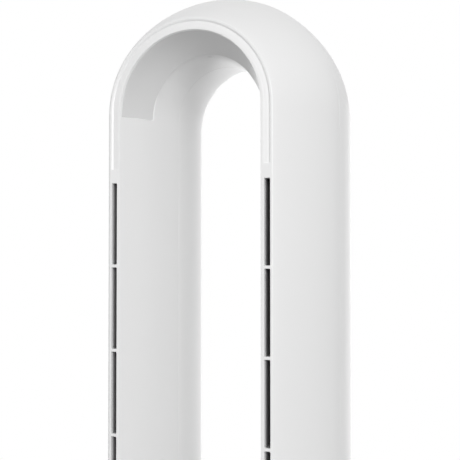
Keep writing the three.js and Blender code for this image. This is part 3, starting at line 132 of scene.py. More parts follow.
# %% Curves of the section
def bezier(ends, t):
    """Cubic Bezier curve: its four points weighted by (1-t)^3, 3(1-t)^2 t, 3(1-t) t^2 and t^3."""
    t = np.asarray(t, float)[:, None]
    p = np.asarray(ends, float)
    start = (1 - t) ** 3 * p[0] + 3 * (1 - t) ** 2 * t * p[1]
    return start + 3 * (1 - t) * t**2 * p[2] + t**3 * p[3]


def bezier_side(ends, t):
    """Unit vector to the left of a cubic Bezier curve: its derivative turned a quarter round."""
    t = np.asarray(t, float)[:, None]
    p = np.asarray(ends, float)
    d = (1 - t) ** 2 * (p[1] - p[0]) + 2 * (1 - t) * t * (p[2] - p[1]) + t**2 * (p[3] - p[2])
    d = d / np.linalg.norm(d, axis=1, keepdims=True)
    return np.stack([-d[:, 1], d[:, 0]], 1)


def at_depth(ends, depths):
    """Parameters at which a curve that runs backwards reaches the given depths."""
    t = np.linspace(0, 1, 2001)
    return np.interp(depths, bezier(ends, t)[:, 1], t)


print("the mouth narrows from", RIM_INNER, "to", bezier(INNER_FRONT, [1.0])[0, 0])


# %% Round corners
def corner_rise(past, radius):
    """How far a quarter circle has left its tangent after `past` along it:
    radius - sqrt(radius^2 - past^2). Before the circle it is 0, and after it the radius."""
    past = np.clip(past, 0, radius)
    return radius - np.sqrt(radius**2 - past**2)


def rounded(corners, radii, steps=5):
    """Closed outline whose corners become arcs. An arc touches both sides of its corner, so its
    centre lies on the corner's bisector at radius / sin(half the corner's angle)."""
    corners = [np.array(c, float) for c in corners]
    outline = []
    for k, (corner, radius) in enumerate(zip(corners, radii)):
        if radius == 0:
            outline.append(corner)
            continue
        before = corners[k - 1] - corner
        after = corners[(k + 1) % len(corners)] - corner
        before, after = before / np.linalg.norm(before), after / np.linalg.norm(after)
        half = math.acos(float(np.clip(before @ after, -1, 1))) / 2
        bisector = (before + after) / np.linalg.norm(before + after)
        centre = corner + bisector * radius / math.sin(half)
        first = corner + before * radius / math.tan(half) - centre
        last = corner + after * radius / math.tan(half) - centre
        turn = math.pi - 2 * half
        for t in np.linspace(0, 1, steps):
            swung = math.sin((1 - t) * turn) * first + math.sin(t * turn) * last
            outline.append(centre + swung / math.sin(turn))
    return np.array(outline)


print("a slot's corner rises", round(float(corner_rise(0.5, SLOT_CORNER)), 3), "mm after 0.5 mm")


# %% Faces of a walled piece
def walled(outer, inner, keep=None, wrap=True):
    """Points and quads of a wall between two grids of the same shape. Kept quads of the outer grid
    and the same quads of the inner grid, turned round, are joined by a strip along each edge that
    has a kept quad on one side only. With wrap the last row is joined to the first."""
    rows, columns = outer.shape[:2]
    index = np.arange(rows * columns).reshape(rows, columns)
    if wrap:
        index = np.vstack([index, index[:1]])
    if keep is None:
        keep = np.ones((index.shape[0] - 1, columns - 1), bool)
    a, b = index[:-1, :-1], index[:-1, 1:]
    d, c = index[1:, :-1], index[1:, 1:]
    far = rows * columns
    beside = np.pad(keep, ((0, 0), (1, 1)))
    no_left, no_right = keep & ~beside[:, :-2], keep & ~beside[:, 2:]
    if wrap:
        no_before, no_after = keep & ~np.roll(keep, 1, 0), keep & ~np.roll(keep, -1, 0)
    else:
        ahead = np.pad(keep, ((1, 1), (0, 0)))
        no_before, no_after = keep & ~ahead[:-2], keep & ~ahead[2:]

    def strip(first, second, where):
        """Quads from an edge of the outer grid to the same edge of the inner grid."""
        return np.stack([first[where], second[where], second[where] + far, first[where] + far], 1)

    faces = [
        np.stack([a[keep], b[keep], c[keep], d[keep]], 1),
        np.stack([d[keep], c[keep], b[keep], a[keep]], 1) + far,
        strip(a, d, no_left),
        strip(c, b, no_right),
        strip(b, a, no_before),
        strip(d, c, no_after),
    ]
    return np.vstack([outer.reshape(-1, 3), inner.reshape(-1, 3)]), np.vstack(faces)


# %% Turned pieces
def tube(grid):
    """Points and quads of a grid that closes on itself both ways, as a ring of closed sections."""
    rows, columns = grid.shape[:2]
    a = np.arange(rows * columns).reshape(rows, columns)
    b = np.roll(a, -1, 1)
    d, c = np.roll(a, -1, 0), np.roll(b, -1, 0)
    return grid.reshape(-1, 3), np.stack([a, b, c, d], -1).reshape(-1, 4)


def round_axis(radius, height, angles):
    """Places a grid round the upright axis: x = radius cos(angle), y = radius sin(angle)."""
    x = radius * np.cos(angles)[:, None]
    return np.stack([x, radius * np.sin(angles)[:, None], height + 0 * x], -1)


def turned(outline, sides=128, centre=(0, 0)):
    """A closed outline of (radius, height) turned round an upright axis at a centre."""
    angles = np.linspace(0, 2 * np.pi, sides, endpoint=False)
    return tube(round_axis(outline[:, 0], outline[:, 1], angles) + (*centre, 0))


# %% Closed meshes
SHARP = math.radians(32)  # an edge sharper than this is shaded as an edge


def volume_of(points, faces):
    """Volume inside closed quads: the sum of the determinants of their triangles, over six."""
    p = points[faces]
    first = np.einsum("ij,ij->i", p[:, 0], np.cross(p[:, 1], p[:, 2])).sum()
    second = np.einsum("ij,ij->i", p[:, 0], np.cross(p[:, 2], p[:, 3])).sum()
    return (first + second) / 6


def merged(points, faces, near=1e-3):
    """Corners that round to the same multiple of `near` become one. A quad that loses one side
    becomes a triangle, and one that loses more goes."""
    key = np.round(points / near).astype(np.int64)
    _, first, number = np.unique(key, axis=0, return_index=True, return_inverse=True)
    corners = number.reshape(-1)[faces]
    new = corners != np.roll(corners, 1, axis=1)
    sides = new.sum(axis=1)
    crossed = (corners[:, 0] == corners[:, 2]) | (corners[:, 1] == corners[:, 3])
    quads = corners[(sides == 4) & ~crossed]
    triangles = corners[sides == 3][new[sides == 3]].reshape(-1, 3)
    return points[first], quads.tolist() + triangles.tolist()


def closed_mesh(name, shape):
    """Mesh in metres of closed quads in millimetres. A negative volume means that they face
    inwards, and then each is turned round."""
    points, faces = shape
    if volume_of(points, faces) < 0:
        faces = faces[:, ::-1]
    points, rings = merged(points, faces)
    mesh = bpy.data.meshes.new(name)
    mesh.from_pydata((points * MM).tolist(), [], rings)
    mesh.update()
    return mesh


def shade(mesh):
    """Smooth shading, but for the sharp edges."""
    mesh.shade_smooth()
    mesh.set_sharp_from_angle(angle=SHARP)


# %% Pieces
pieces = {}


def add_object(name, data):
    """New object of the scene, at the origin, that shows a mesh, a lamp or a camera."""
    obj = bpy.data.objects.new(name, data)
    bpy.context.scene.collection.objects.link(obj)
    return obj


def make_piece(name, shape, body, slot, nodes):
    """Piece of the fan. It rides on a body, takes a slot's finish and stands for CAD nodes."""
    mesh = closed_mesh(name, shape)
    shade(mesh)
    obj = add_object(name, mesh)
    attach(obj, body)
    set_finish(obj, slot)
    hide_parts(*nodes)
    pieces[name] = obj
    print(f"{name}: {len(mesh.vertices)} corners, {len(mesh.polygons)} faces")
    return obj


def cut_by(obj, cutter_shape):
    """Takes a closed shape out of a piece with the Boolean modifier, and keeps the result."""
    cutter = add_object("cutter", closed_mesh("cutter", cutter_shape))
    modifier = obj.modifiers.new("cut", "BOOLEAN")
    modifier.operation = "DIFFERENCE"
    modifier.solver = "EXACT"
    modifier.object = cutter
    depsgraph = bpy.context.evaluated_depsgraph_get()
    done = bpy.data.meshes.new_from_object(obj.evaluated_get(depsgraph))
    obj.modifiers.clear()
    old, obj.data = obj.data, done
    done.name = old.name
    bpy.data.objects.remove(cutter)
    bpy.data.meshes.remove(old)
    shade(done)
    print(f"{obj.name} after a cut: {len(done.polygons)} faces")


# %% [markdown]
# ## Round the racetrack
# A station is an angle and a height: the section's radius points along the angle, from a centre
# at that height. A curve with a bevel could sweep the section too, but it has the same section
# everywhere. Here slots, groove and lining change it from station to station.
# Two stations may share a place, so that a groove or a ledge ends in a square step.

# %% Stations
ARC_STEPS = 64
STEP = 1e-4  # two stations this far apart make a square step


def stations(leg_heights):
    """Angles and centre heights once round the racetrack: up the right leg, over the top arch,
    down the left leg and round the lower arch."""
    up = np.sort(np.array(leg_heights, float))
    arc = np.linspace(0, np.pi, ARC_STEPS + 1)[1:-1]
    angle = np.concatenate([0 * up, arc, 0 * up + np.pi, arc + np.pi])
    height = np.concatenate([up, 0 * arc + HIGH_Z, up[::-1], 0 * arc + LOW_Z])
    return angle, height


def round_loop(radius, depth, angle, height):
    """Places a grid of section points: x = radius cos(angle), y = front + depth,
    z = height + radius sin(angle)."""
    x = radius * np.cos(angle)[:, None]
    return np.stack([x, FRONT_Y + depth + 0 * x, height + radius * np.sin(angle)[:, None]], -1)


print("an arch has", ARC_STEPS, "steps, each of", round(180 / ARC_STEPS, 2), "degrees")

# %% [markdown]
# ## Front half of the loop
# The rim carries the air slots on the legs and a closed groove in line with them over the arches.
# The slots could be cut with the Boolean modifier, but on a long thin rim its edges come out
# sharp and its faces ragged. So each edge of a slot or groove has a column of points of its own,
# and a slot is the faces left out between two of them.

# %% Columns of the front half
GROOVE_POINTS = [
    (SLOT_OUTER + EASE, 0.0),
    (SLOT_OUTER, 0.2),
    (SLOT_OUTER - 0.7, 0.95),
    (SLOT_OUTER - 1.2, 1.25),
    (SLOT_OUTER - 1.8, 1.2),
    (76.2, 0.95),
    (75.4, 0.7),
    (74.6, 0.5),
    (SLOT_INNER + 0.6, 0.34),
    (SLOT_INNER, 0.2),
    (SLOT_INNER - EASE, 0.0),
]
MOUTH_DEPTHS = np.array(
    [0.5, 1.1, 1.7, 2.1, 2.4, 5.5, 9, 12, 15, 18, 21, 24, 27, 30, 33, 35, 36, 37, 38, 38.4]
    + [38.6, 39.0, 40.5, 43, 46, 49, 53, 57, 61, 65, 69, 73, 76, 78.5]
)
edge = PART_DEPTH - GAP / 2

# The wall lies to the left of the outer curve and to the right of the inner one.
flank_t = np.append(at_depth(OUTER_FRONT, [edge - SEAM_EASE]), np.linspace(0.95, 0.05, 26))
flank = bezier(OUTER_FRONT, flank_t)
flank_in = flank + bezier_side(OUTER_FRONT, flank_t) * WALL
mouth_t = at_depth(INNER_FRONT, np.append(MOUTH_DEPTHS, edge - SEAM_EASE))
mouth = bezier(INNER_FRONT, mouth_t)
mouth_side = bezier_side(INNER_FRONT, mouth_t)
mouth_in = mouth - mouth_side * WALL

groove_r, groove_d = np.array(GROOVE_POINTS).T
lip = np.array([(LIP_RADIUS + 0.35, 0.14), (LIP_RADIUS - 0.05, 0.02), (LIP_RADIUS - 0.6, 0.0)])
rim_edge = np.array([(RIM_INNER + 0.7, 0.0), (RIM_INNER + 0.1, 0.06)])
outer_end = np.array([(LOOP_RADIUS - SEAM_EASE, edge)])
inner_end = np.array([(mouth[-1, 0] + SEAM_EASE, edge)])
flat_groove = np.stack([groove_r, 0 * groove_d], 1)
plain = np.vstack([outer_end, flank, lip, flat_groove, rim_edge, mouth, inner_end])
rim_first = len(outer_end) + len(flank)
groove_first = rim_first + len(lip)
groove_end = groove_first + len(groove_d)
mouth_first = groove_end + len(rim_edge)
slot_left, slot_right = groove_first + 1, groove_end - 2  # columns at a slot's two edges
print(len(plain), "columns,", "rim from column", rim_first, "to", mouth_first)


# %% Inner skin of the front half
def behind(points):
    """A point of the rim moved straight back to the rim's inner face."""
    return np.stack([points[:, 0], 0 * points[:, 0] + RIM_BACK], 1)


rim_in = [behind(lip), behind(flat_groove), behind(rim_edge)]
outer_end_in, inner_end_in = [(LOOP_RADIUS - WALL, edge)], [(mouth[-1, 0] + WALL, edge)]
plain_in = np.vstack([outer_end_in, flank_in, *rim_in, mouth_in, inner_end_in])
plain_in[:, 1] = np.maximum(plain_in[:, 1], RIM_BACK)
print("the rim is", RIM_BACK, "mm thick and the sides are", WALL)

# %% [markdown]
# The lining of the top arch lies in a recess of the mouth. On the real moulding that is a shallow
# step, so here the columns of the mouth that lie under the lining move back by its thickness,
# but only at the stations where the lining is.

# %% Recess for the lining
POCKET_FIRST = 4  # first column of the recess
POCKET_LAST = 19  # last column of the recess
POCKET_WALL = 2.0
LEDGE_EASE = 0.4


def lining_point(depth, shift=0.0):
    """Point of the straight line from the rim's inner edge to the lining's back edge at a depth,
    moved into the wall by `shift`."""
    run = np.array([LINING_BACK_RADIUS - RIM_INNER, LINING_BACK])
    out = np.array([run[1], -run[0]]) / np.linalg.norm(run)
    start = np.array([RIM_INNER, 0.0]) + out * shift
    share = (np.asarray(depth, float) - start[1]) / run[1]
    return start + share[..., None] * run


pocket = slice(POCKET_FIRST, POCKET_LAST + 1)
columns = mouth_first + np.arange(POCKET_FIRST, POCKET_LAST + 1)
floor_depths = MOUTH_DEPTHS[pocket].copy()
floor_depths[0], floor_depths[-1] = LINING_FRONT - GAP, LINING_BACK
floor_shift = LINING_THICKNESS + GAP
recess, recess_in, eased = plain.copy(), plain_in.copy(), plain.copy()
recess[columns] = lining_point(floor_depths, floor_shift)
recess_in[columns] = lining_point(np.maximum(floor_depths, RIM_BACK), floor_shift + POCKET_WALL)
recess[columns[-1] + 1] += (EASE, 0)
eased[columns] -= mouth_side[pocket] * LEDGE_EASE
sunk_by = recess[columns[8], 0] - plain[columns[8], 0]
print("recess is", round(float(sunk_by), 2), "mm deep at its middle")

# %% [markdown]
# Every edge that crosses the legs needs stations of its own: the round ends of the slots, the
# ends of the groove and the ledge under the lining. A few more in between keep the faces short.

# %% Stations of the front half
slot_ends = []
for k in range(SLOT_COUNT):
    slot_ends.append((SLOT_TOP - k * SLOT_PITCH, SLOT_TOP - (k + 1) * SLOT_PITCH + SLOT_BRIDGE))
near_corner = SLOT_CORNER * np.array([0.0, 0.08, 0.3, 0.62, 1.0])
heights = [LOW_Z, HIGH_Z]
for top, foot in slot_ends:
    heights += [top + EASE, foot - EASE, *(top - near_corner), *(foot + near_corner)]
    heights += list(np.linspace(foot + 12, top - 12, 5))
ledge_z = HIGH_Z - LINING_DROP
groove_low, groove_high = LOW_Z + GROOVE_RUN, HIGH_Z - GROOVE_RUN
for z in (ledge_z, groove_low, groove_high):
    heights += [z - STEP, z + STEP]
heights += [groove_low - 0.8, groove_high + 0.8, ledge_z - 0.5]
heights += [LOW_Z + 26, HIGH_Z - 26, HIGH_Z - 12]
front_angle, front_height = stations(heights)
on_leg = np.isclose(np.sin(front_angle), 0, atol=1e-9)
top_half = np.sin(front_angle) > 1e-9
print(len(front_angle), "stations, of which", int(on_leg.sum()), "on the legs")

# %% Recess and groove at their stations
over_arch = ~on_leg | (front_height > groove_high) | (front_height < groove_low)
in_recess = top_half | (on_leg & (front_height > ledge_z))
on_ledge = on_leg & np.isclose(front_height, ledge_z - STEP, atol=STEP / 2)
section = np.where(in_recess[:, None, None], recess, plain)
section = np.where(on_ledge[:, None, None], eased, section)
section_in = np.where(in_recess[:, None, None], recess_in, plain_in)
radius, depth = section[..., 0], section[..., 1]
radius_in, depth_in = section_in[..., 0], section_in[..., 1]

groove_depth = np.zeros(len(plain))
groove_depth[groove_first:groove_end] = groove_d
depth = depth + over_arch[:, None] * groove_depth

# The ledge's back corner is round, and the stations beside it lift with it.
lift = corner_rise(plain[:, 1] - (LINING_BACK - LINING_CORNER), LINING_CORNER)
near_ledge = on_leg & (np.abs(front_height - ledge_z) < 0.6)
raised = front_height[:, None] + np.where(near_ledge[:, None], lift, 0)
print("groove up to", groove_d.max(), "mm deep at", int(over_arch.sum()), "stations")

# %% [markdown]
# A moulded slot has round corners and a soft edge. The two columns at its edges pull together
# near its ends, by how far a quarter circle has left its tangent. The rim sinks a little where
# it is near the hole: by the edge's ease, less the distance to the hole.

# %% Round corners and soft edges of the slots
beyond = np.full(len(front_height), 1e9)
corner_in = np.zeros(len(front_height))
for top, foot in slot_ends:
    inside = on_leg & (front_height <= top + 1e-9) & (front_height >= foot - 1e-9)
    outside = np.maximum(front_height - top, foot - front_height)
    beyond = np.where(on_leg, np.minimum(beyond, np.maximum(outside, 0)), beyond)
    past = SLOT_CORNER - np.minimum(top - front_height, front_height - foot)
    corner_in = np.where(inside, corner_rise(past, SLOT_CORNER), corner_in)
aside = np.maximum(np.maximum(plain[:, 0] - SLOT_OUTER, SLOT_INNER - plain[:, 0]), 0)
in_groove = np.zeros(len(plain), bool)
in_groove[groove_first:groove_end] = True
to_hole = np.hypot(beyond[:, None], aside[None, :])
depth = depth + np.where(in_groove & (to_hole < EASE), EASE - to_hole, 0)
pinch = np.zeros(len(plain))
pinch[[slot_left - 1, slot_left]] = -1
pinch[[slot_right, slot_right + 1]] = 1
radius = radius + corner_in[:, None] * pinch
radius_in = radius_in + corner_in[:, None] * pinch
print("a slot's edges move in by up to", round(float(corner_in.max()), 2), "mm")

# %% Front half
outer_grid = round_loop(radius, depth, front_angle, raised)
inner_grid = round_loop(radius_in, depth_in, front_angle, raised)
middle = (front_height + np.roll(front_height, -1)) / 2
keep = np.ones((len(front_angle), len(plain) - 1), bool)
for top, foot in slot_ends:
    rows = on_leg & np.roll(on_leg, -1) & (middle < top) & (middle > foot)
    keep[np.ix_(rows, range(slot_left, slot_right))] = False
front_half = walled(outer_grid, inner_grid, keep)
make_piece("loop_front", front_half, "turret", "white_shell", ["loop_front_shell"])

# %% [markdown]
# ## Back half of the loop
# The back half is a second moulding that meets the first in a fine seam and ends in a round rim.
# It needs no holes, so a few stations on the legs are enough. Its inner skin can't follow the
# tight round of the back rim without crossing itself, so there it runs straight across.

# %% Back half
TIGHT_OUTER, TIGHT_INNER = 0.82, 0.9  # where on the two curves the round gets too tight
back_edge = PART_DEPTH + GAP / 2
outer_t = np.append(at_depth(OUTER_BACK, [back_edge + SEAM_EASE]), np.linspace(0.04, 1, 34))
inner_t = np.append(np.linspace(0.985, 0.03, 38), at_depth(INNER_BACK, [back_edge + SEAM_EASE]))
outer_skin = bezier(OUTER_BACK, outer_t)
inner_skin = bezier(INNER_BACK, inner_t)
outer_wall = outer_skin + bezier_side(OUTER_BACK, np.minimum(outer_t, TIGHT_OUTER)) * WALL
inner_wall = inner_skin - bezier_side(INNER_BACK, np.minimum(inner_t, TIGHT_INNER)) * WALL
outer_wall[outer_t > TIGHT_OUTER] = outer_wall[outer_t <= TIGHT_OUTER][-1]
seam_in = inner_skin[-1, 0]
ends = [(LOOP_RADIUS - SEAM_EASE, back_edge)], [(seam_in + SEAM_EASE, back_edge)]
back = np.vstack([ends[0], outer_skin, inner_skin, ends[1]])
ends = [(LOOP_RADIUS - WALL, back_edge)], [(seam_in + WALL, back_edge)]
back_in = np.vstack([ends[0], outer_wall, inner_wall, ends[1]])
tight = np.concatenate([[False], outer_t > TIGHT_OUTER, inner_t > TIGHT_INNER, [False]])
first, last = np.flatnonzero(tight)[[0, -1]]
share = np.linspace(0, 1, last - first + 3)[1:-1, None]
back_in[first : last + 1] = back_in[first - 1] * (1 - share) + back_in[last + 1] * share
back_angle, back_height = stations([LOW_Z, *np.linspace(LOW_Z + 40, HIGH_Z - 40, 9), HIGH_Z])
centres = back_height[:, None]
back_half = walled(
    round_loop(back[:, 0], back[:, 1], back_angle, centres),
    round_loop(back_in[:, 0], back_in[:, 1], back_angle, centres),
)
make_piece("loop_back", back_half, "turret", "white_shell", ["loop_back_shell"])

# %% [markdown]
# ## Lining of the arch
# A thin smooth strip lies in the recess round the inside of the top arch. It ends a little below
# the arch on both legs, with one round corner at the back. It could be a bent plate with a Bevel
# modifier, but its back edge stands out over the arch and not on the legs, so it is a grid too.
# The edge's rise is its height times a smooth step s^2 (3 - 2s) round the arch, times a power
# of the share of the depth.

# %% Lining
LINING_RISE = 2.4  # how far the back edge stands out over the arch
RISE_FROM = 12.0  # depth from which it does
RISE_SPAN = 0.6  # height on the unit circle by which the rise is full
front_lines = [LINING_FRONT, LINING_FRONT + EASE, *np.linspace(4.2, LINING_BACK - 3.2, 15)]
back_lines = LINING_BACK - GAP - np.array([2.6, 2.0, 1.4, 0.9, EASE, 0.0])
lining_depths = np.concatenate([front_lines, back_lines])
face = lining_point(lining_depths)
face[[0, -1]] = lining_point(lining_depths[[0, -1]], EASE)
rear = lining_point(lining_depths, LINING_THICKNESS)
arc = np.linspace(0, np.pi, ARC_STEPS + 1)
drop = LINING_DROP - GAP
leg_drops = np.array([drop, drop - EASE, 1.2])
lining_angle = np.concatenate([0 * leg_drops, arc, 0 * leg_drops + np.pi])
lining_height = HIGH_Z - np.concatenate([leg_drops, 0 * arc, leg_drops[::-1]])
lift = corner_rise(lining_depths - (LINING_BACK - GAP - LINING_CORNER), LINING_CORNER)
last_row = len(lining_angle) - 1
at_end = np.isin(np.arange(len(lining_angle)), [0, 1, last_row - 1, last_row])
lifted = lining_height[:, None] + at_end[:, None] * lift
face_r = np.tile(face[:, 0], (len(lining_angle), 1))
face_r[[0, -1]] += EASE
over = np.clip(np.abs(np.sin(lining_angle)) / RISE_SPAN, 0, 1)
over = over**2 * (3 - 2 * over)
outward = np.clip((lining_depths - RISE_FROM) / (LINING_BACK - RISE_FROM), 0, 1) ** 1.5
face_r -= LINING_RISE * over[:, None] * outward
strip = walled(
    round_loop(face_r, face[:, 1], lining_angle, lifted),
    round_loop(rear[:, 0], rear[:, 1], lining_angle, lifted),
    wrap=False,
)
make_piece("arch_lining", strip, "turret", "liner_white", ["arch_liner"])

# %% [markdown]
# A small round nub stands on the shell behind the lining's back edge, at the top. A squashed
# sphere would do, but it wouldn't follow the curve of the mouth. So it is a patch of the mouth
# that swells by the root of (1 - u^2)(1 - v^2), with u and v from -1 to 1 across it.

# %% Nub behind the lining
NUB_HALF = 2.2
NUB_FRONT = 45.0
NUB_BACK = 49.5
NUB_SWELL = 0.6
NUB_SKIN = 0.05
u = np.linspace(-1, 1, 25)
v = np.linspace(-1, 1, 21)
nub_depths = (NUB_FRONT + NUB_BACK) / 2 + v * (NUB_BACK - NUB_FRONT) / 2
wall_line = bezier(INNER_FRONT, at_depth(INNER_FRONT, nub_depths))[:, 0]
swell = np.sqrt(np.clip(1 - u[:, None] ** 2, 0, 1) * np.clip(1 - v**2, 0, 1))
root = wall_line - NUB_SKIN
nub_angle = np.pi / 2 - u * NUB_HALF / wall_line[0]
nub = walled(
    round_loop(root - NUB_SKIN - NUB_SWELL * swell, nub_depths, nub_angle, HIGH_Z),
    round_loop(root, nub_depths, nub_angle, HIGH_Z),
    wrap=False,
)
make_piece("lining_nub", nub, "turret", "white_shell", ["liner_clip"])

# %% [markdown]
# ## Body
# The body is a drum. Its round top edge runs into a flat top, and the loop's lower arch comes
# up through an opening in it. At a height z the loop is as wide as
# sqrt(radius(y)^2 - (z - arch centre)^2), which gives the opening's outline.
# The opening could be cut with the loop itself, but then it would have no gap round it. Here the
# rows of the drum's top simply run in to the outline.

# %% Sizes of the body
BODY_RADIUS = 110.0
BODY_WALL = 3.0
BODY_ROUND = 11.0
BUTTON_RADIUS = 7.0


def heights_of(name):
    """Lowest and highest point of a CAD node, in millimetres."""
    return [corner.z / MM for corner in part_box(name)]


body_low, body_high = heights_of("body_shell")
grille_low, grille_high = heights_of("inlet_grille")
window_low, window_high = heights_of("display_window")
button_low, button_high = heights_of("power_button")
WINDOW_Z = (window_low + window_high) / 2
WINDOW_RADIUS = (window_high - window_low) / 2 + GAP
BUTTON_Z = (button_low + button_high) / 2
print("body from", round(body_low, 1), "to", round(body_high, 1), "window at", round(WINDOW_Z, 1))


# %% Outline of the opening
def opening(angles, height, grow):
    """Distance from the upright axis to the opening's edge at each angle, at a height: the loop's
    outer form, grown by `grow`, or its flat front and back, whichever is nearer. Also the angles
    of the two corners where the form meets the front and the back."""
    t = np.linspace(0, 1, 200)
    outer = np.vstack([bezier(OUTER_FRONT, t), bezier(OUTER_BACK, t)])
    wide = np.sqrt(np.clip((outer[:, 0] + grow) ** 2 - (LOW_Z - height) ** 2, 0, None))
    y = FRONT_Y + outer[:, 1]
    polar = np.arctan2(y, wide)
    folded = np.arcsin(np.sin(angles))
    curved = np.interp(folded, polar, np.hypot(wide, y))
    flat = (LOOP_DEPTH / 2 + grow) / np.maximum(np.abs(np.sin(angles)), 1e-6)
    past_corner = (folded < polar[0]) | (folded > polar[-1])
    return np.where(past_corner, flat, np.minimum(curved, flat)), (polar[0], polar[-1])


_, (front_corner, back_corner) = opening(np.zeros(1), body_high, GAP)
angles = np.linspace(-np.pi, np.pi, 180, endpoint=False)
corner_angles = [front_corner, np.pi - front_corner, back_corner, np.pi - back_corner]
corner_angles = (np.array(corner_angles) + np.pi) % (2 * np.pi) - np.pi
angles = np.sort(np.concatenate([angles, corner_angles]))
edge_top, _ = opening(angles, body_high, GAP)
edge_under, _ = opening(angles, body_high - BODY_WALL, GAP)
print("opening reaches from", round(edge_top.min(), 1), "to", round(edge_top.max(), 1), "mm")

# %% Skins of the drum
SIDE_ROWS, ROUND_ROWS = 11, 12
turn = np.linspace(0, np.pi / 2, ROUND_ROWS)
flat_start = BODY_RADIUS - BODY_ROUND
round_foot = body_high - BODY_ROUND
inner_round = BODY_ROUND - BODY_WALL
side_r = np.concatenate([[BODY_RADIUS - EASE], [BODY_RADIUS] * (SIDE_ROWS + 1)])
side_r = np.concatenate([side_r, BODY_RADIUS - BODY_ROUND * (1 - np.cos(turn))])
straight = np.linspace(body_low + 8, round_foot - 4, SIDE_ROWS)
round_z = round_foot + BODY_ROUND * np.sin(turn)
side_z = np.concatenate([[body_low, body_low + EASE], straight, round_z])
inner_r = side_r - BODY_WALL
inner_r[-ROUND_ROWS:] = BODY_RADIUS - BODY_WALL - inner_round * (1 - np.cos(turn))
inner_z = side_z.copy()
inner_z[:2] = body_low
inner_z[-ROUND_ROWS:] = round_foot + inner_round * np.sin(turn)


def in_rows(line):
    """The same line of the skin at every angle."""
    return np.tile(line, (len(angles), 1))


rim_r = edge_top[:, None]
top_r = flat_start + (rim_r + EASE - flat_start) * np.array([0.5, 1.0])
out_r = np.hstack([in_rows(side_r), top_r, rim_r])
out_z = np.hstack([in_rows(side_z), 0 * top_r + body_high, 0 * rim_r + body_high - EASE])
under_r = flat_start + (edge_under[:, None] - flat_start) * np.array([0.5, 0.9, 1.0])
in_r = np.hstack([in_rows(inner_r), under_r])
in_z = np.hstack([in_rows(inner_z), 0 * under_r + body_high - BODY_WALL])
drum_shape = walled(round_axis(out_r, out_z, angles), round_axis(in_r, in_z, angles))
drum = make_piece("body_drum", drum_shape, "turret", "white_shell", ["body_shell"])

# %% [markdown]
# The dial and the button sit in round holes in the drum's front. Two small holes in a plain wall
# are what the Boolean modifier is good for, so they are cut.


# %% Holes in the drum
def front_plug(radius, height, sides=72):
    """Closed cylinder along Y through the front of the drum: a ring of circles and two lids
    whose middle points fall together."""
    angle = np.linspace(0, 2 * np.pi, sides, endpoint=False)[:, None]
    r = np.array([0, radius, radius, 0])
    y = np.array([-BODY_RADIUS - 5, -BODY_RADIUS - 5, -BODY_RADIUS / 2, -BODY_RADIUS / 2])
    return tube(np.stack([r * np.cos(angle), y + 0 * angle, height + r * np.sin(angle)], -1))


cut_by(drum, front_plug(WINDOW_RADIUS, WINDOW_Z))
cut_by(drum, front_plug(BUTTON_RADIUS, BUTTON_Z))

# %% [markdown]
# ## Intake grille
# The air comes in through upright slots with round ends, right round the lower body.
# An Array modifier round the axis could repeat one slot, but its seams would have to be merged.
# Here each slot has columns of its own, and its last rows are bent to a half circle.

# %% Lines of the grille
GRILLE_COLUMNS = 36
GRILLE_SLOT_WIDTH = 5.4
GRILLE_BAND = 11.0  # closed band above and below the slots
half_slot = GRILLE_SLOT_WIDTH / 2
across = half_slot * np.array([-1, -0.92, -0.7, -0.38, 0, 0.38, 0.7, 0.92, 1])
lines = np.concatenate([[-half_slot - EASE], across, [half_slot + EASE]])
pitch = 2 * np.pi / GRILLE_COLUMNS
line_angles = np.append(lines / BODY_RADIUS, pitch / 2)
grille_angles = (np.arange(GRILLE_COLUMNS)[:, None] * pitch + line_angles + pitch / 2).ravel()
low, high = grille_low + GRILLE_BAND, grille_high - GRILLE_BAND
z_lines = [grille_low, grille_low + EASE, low - 5, low - EASE, low, low + 5, (low + high) / 2]
z_lines += [high - 5, high, high + EASE, high + 5, grille_high - EASE, grille_high]
z_lines = np.array(z_lines)
HOLE_LOW, HOLE_HIGH = 4, 8  # rows at the two ends of a slot
print(len(grille_angles), "columns and", len(z_lines), "rows, slots from", low, "to", high)


# %% Intake grille
def each_slot(before, inside, after):
    """Values for all the columns, the same at every slot: before it, across it and after it."""
    return np.tile(np.concatenate([[before], inside, after]), GRILLE_COLUMNS)


open_line = each_slot(0, 0 * across + 1, [0, 0])
bend = each_slot(0, corner_rise(np.abs(across), half_slot), [0, 0])
on_side = each_slot(0, np.isin(np.arange(len(across)), [0, len(across) - 1]) * 1, [0, 0])
pull = np.array([0, 0, 0, 1, 1, 0, 0, 0, -1, -1, 0, 0, 0])
grille_z = z_lines + bend[:, None] * pull
grille_r = np.full(grille_z.shape, BODY_RADIUS)
grille_r[:, [0, -1]] -= EASE
at_hole = (z_lines >= low) & (z_lines <= high)
at_hole_end = np.isin(np.arange(len(z_lines)), [HOLE_LOW, HOLE_HIGH])
grille_r -= EASE * (on_side[:, None] * at_hole + (open_line - on_side)[:, None] * at_hole_end)
keep = np.ones((len(grille_angles), len(z_lines) - 1), bool)
slot_rows = each_slot(False, np.full(len(across) - 1, True), [False] * 3)
keep[np.ix_(slot_rows, range(HOLE_LOW, HOLE_HIGH))] = False
grille_back = 0 * grille_r + BODY_RADIUS - BODY_WALL
grille_shape = walled(
    round_axis(grille_r, grille_z, grille_angles),
    round_axis(grille_back, grille_z, grille_angles),
    keep,
)
make_piece("intake_grille", grille_shape, "turret", "white_shell", ["inlet_grille"])

# %% [markdown]
# ## Dial glass and power button
# Both are discs that follow the drum's curve: at a place x across the front the drum's face lies
# at y = -sqrt(radius^2 - x^2). A flat cylinder would stand out at its sides, so each disc is a
# grid of circles laid on that face. The button is a little hollow for the finger.


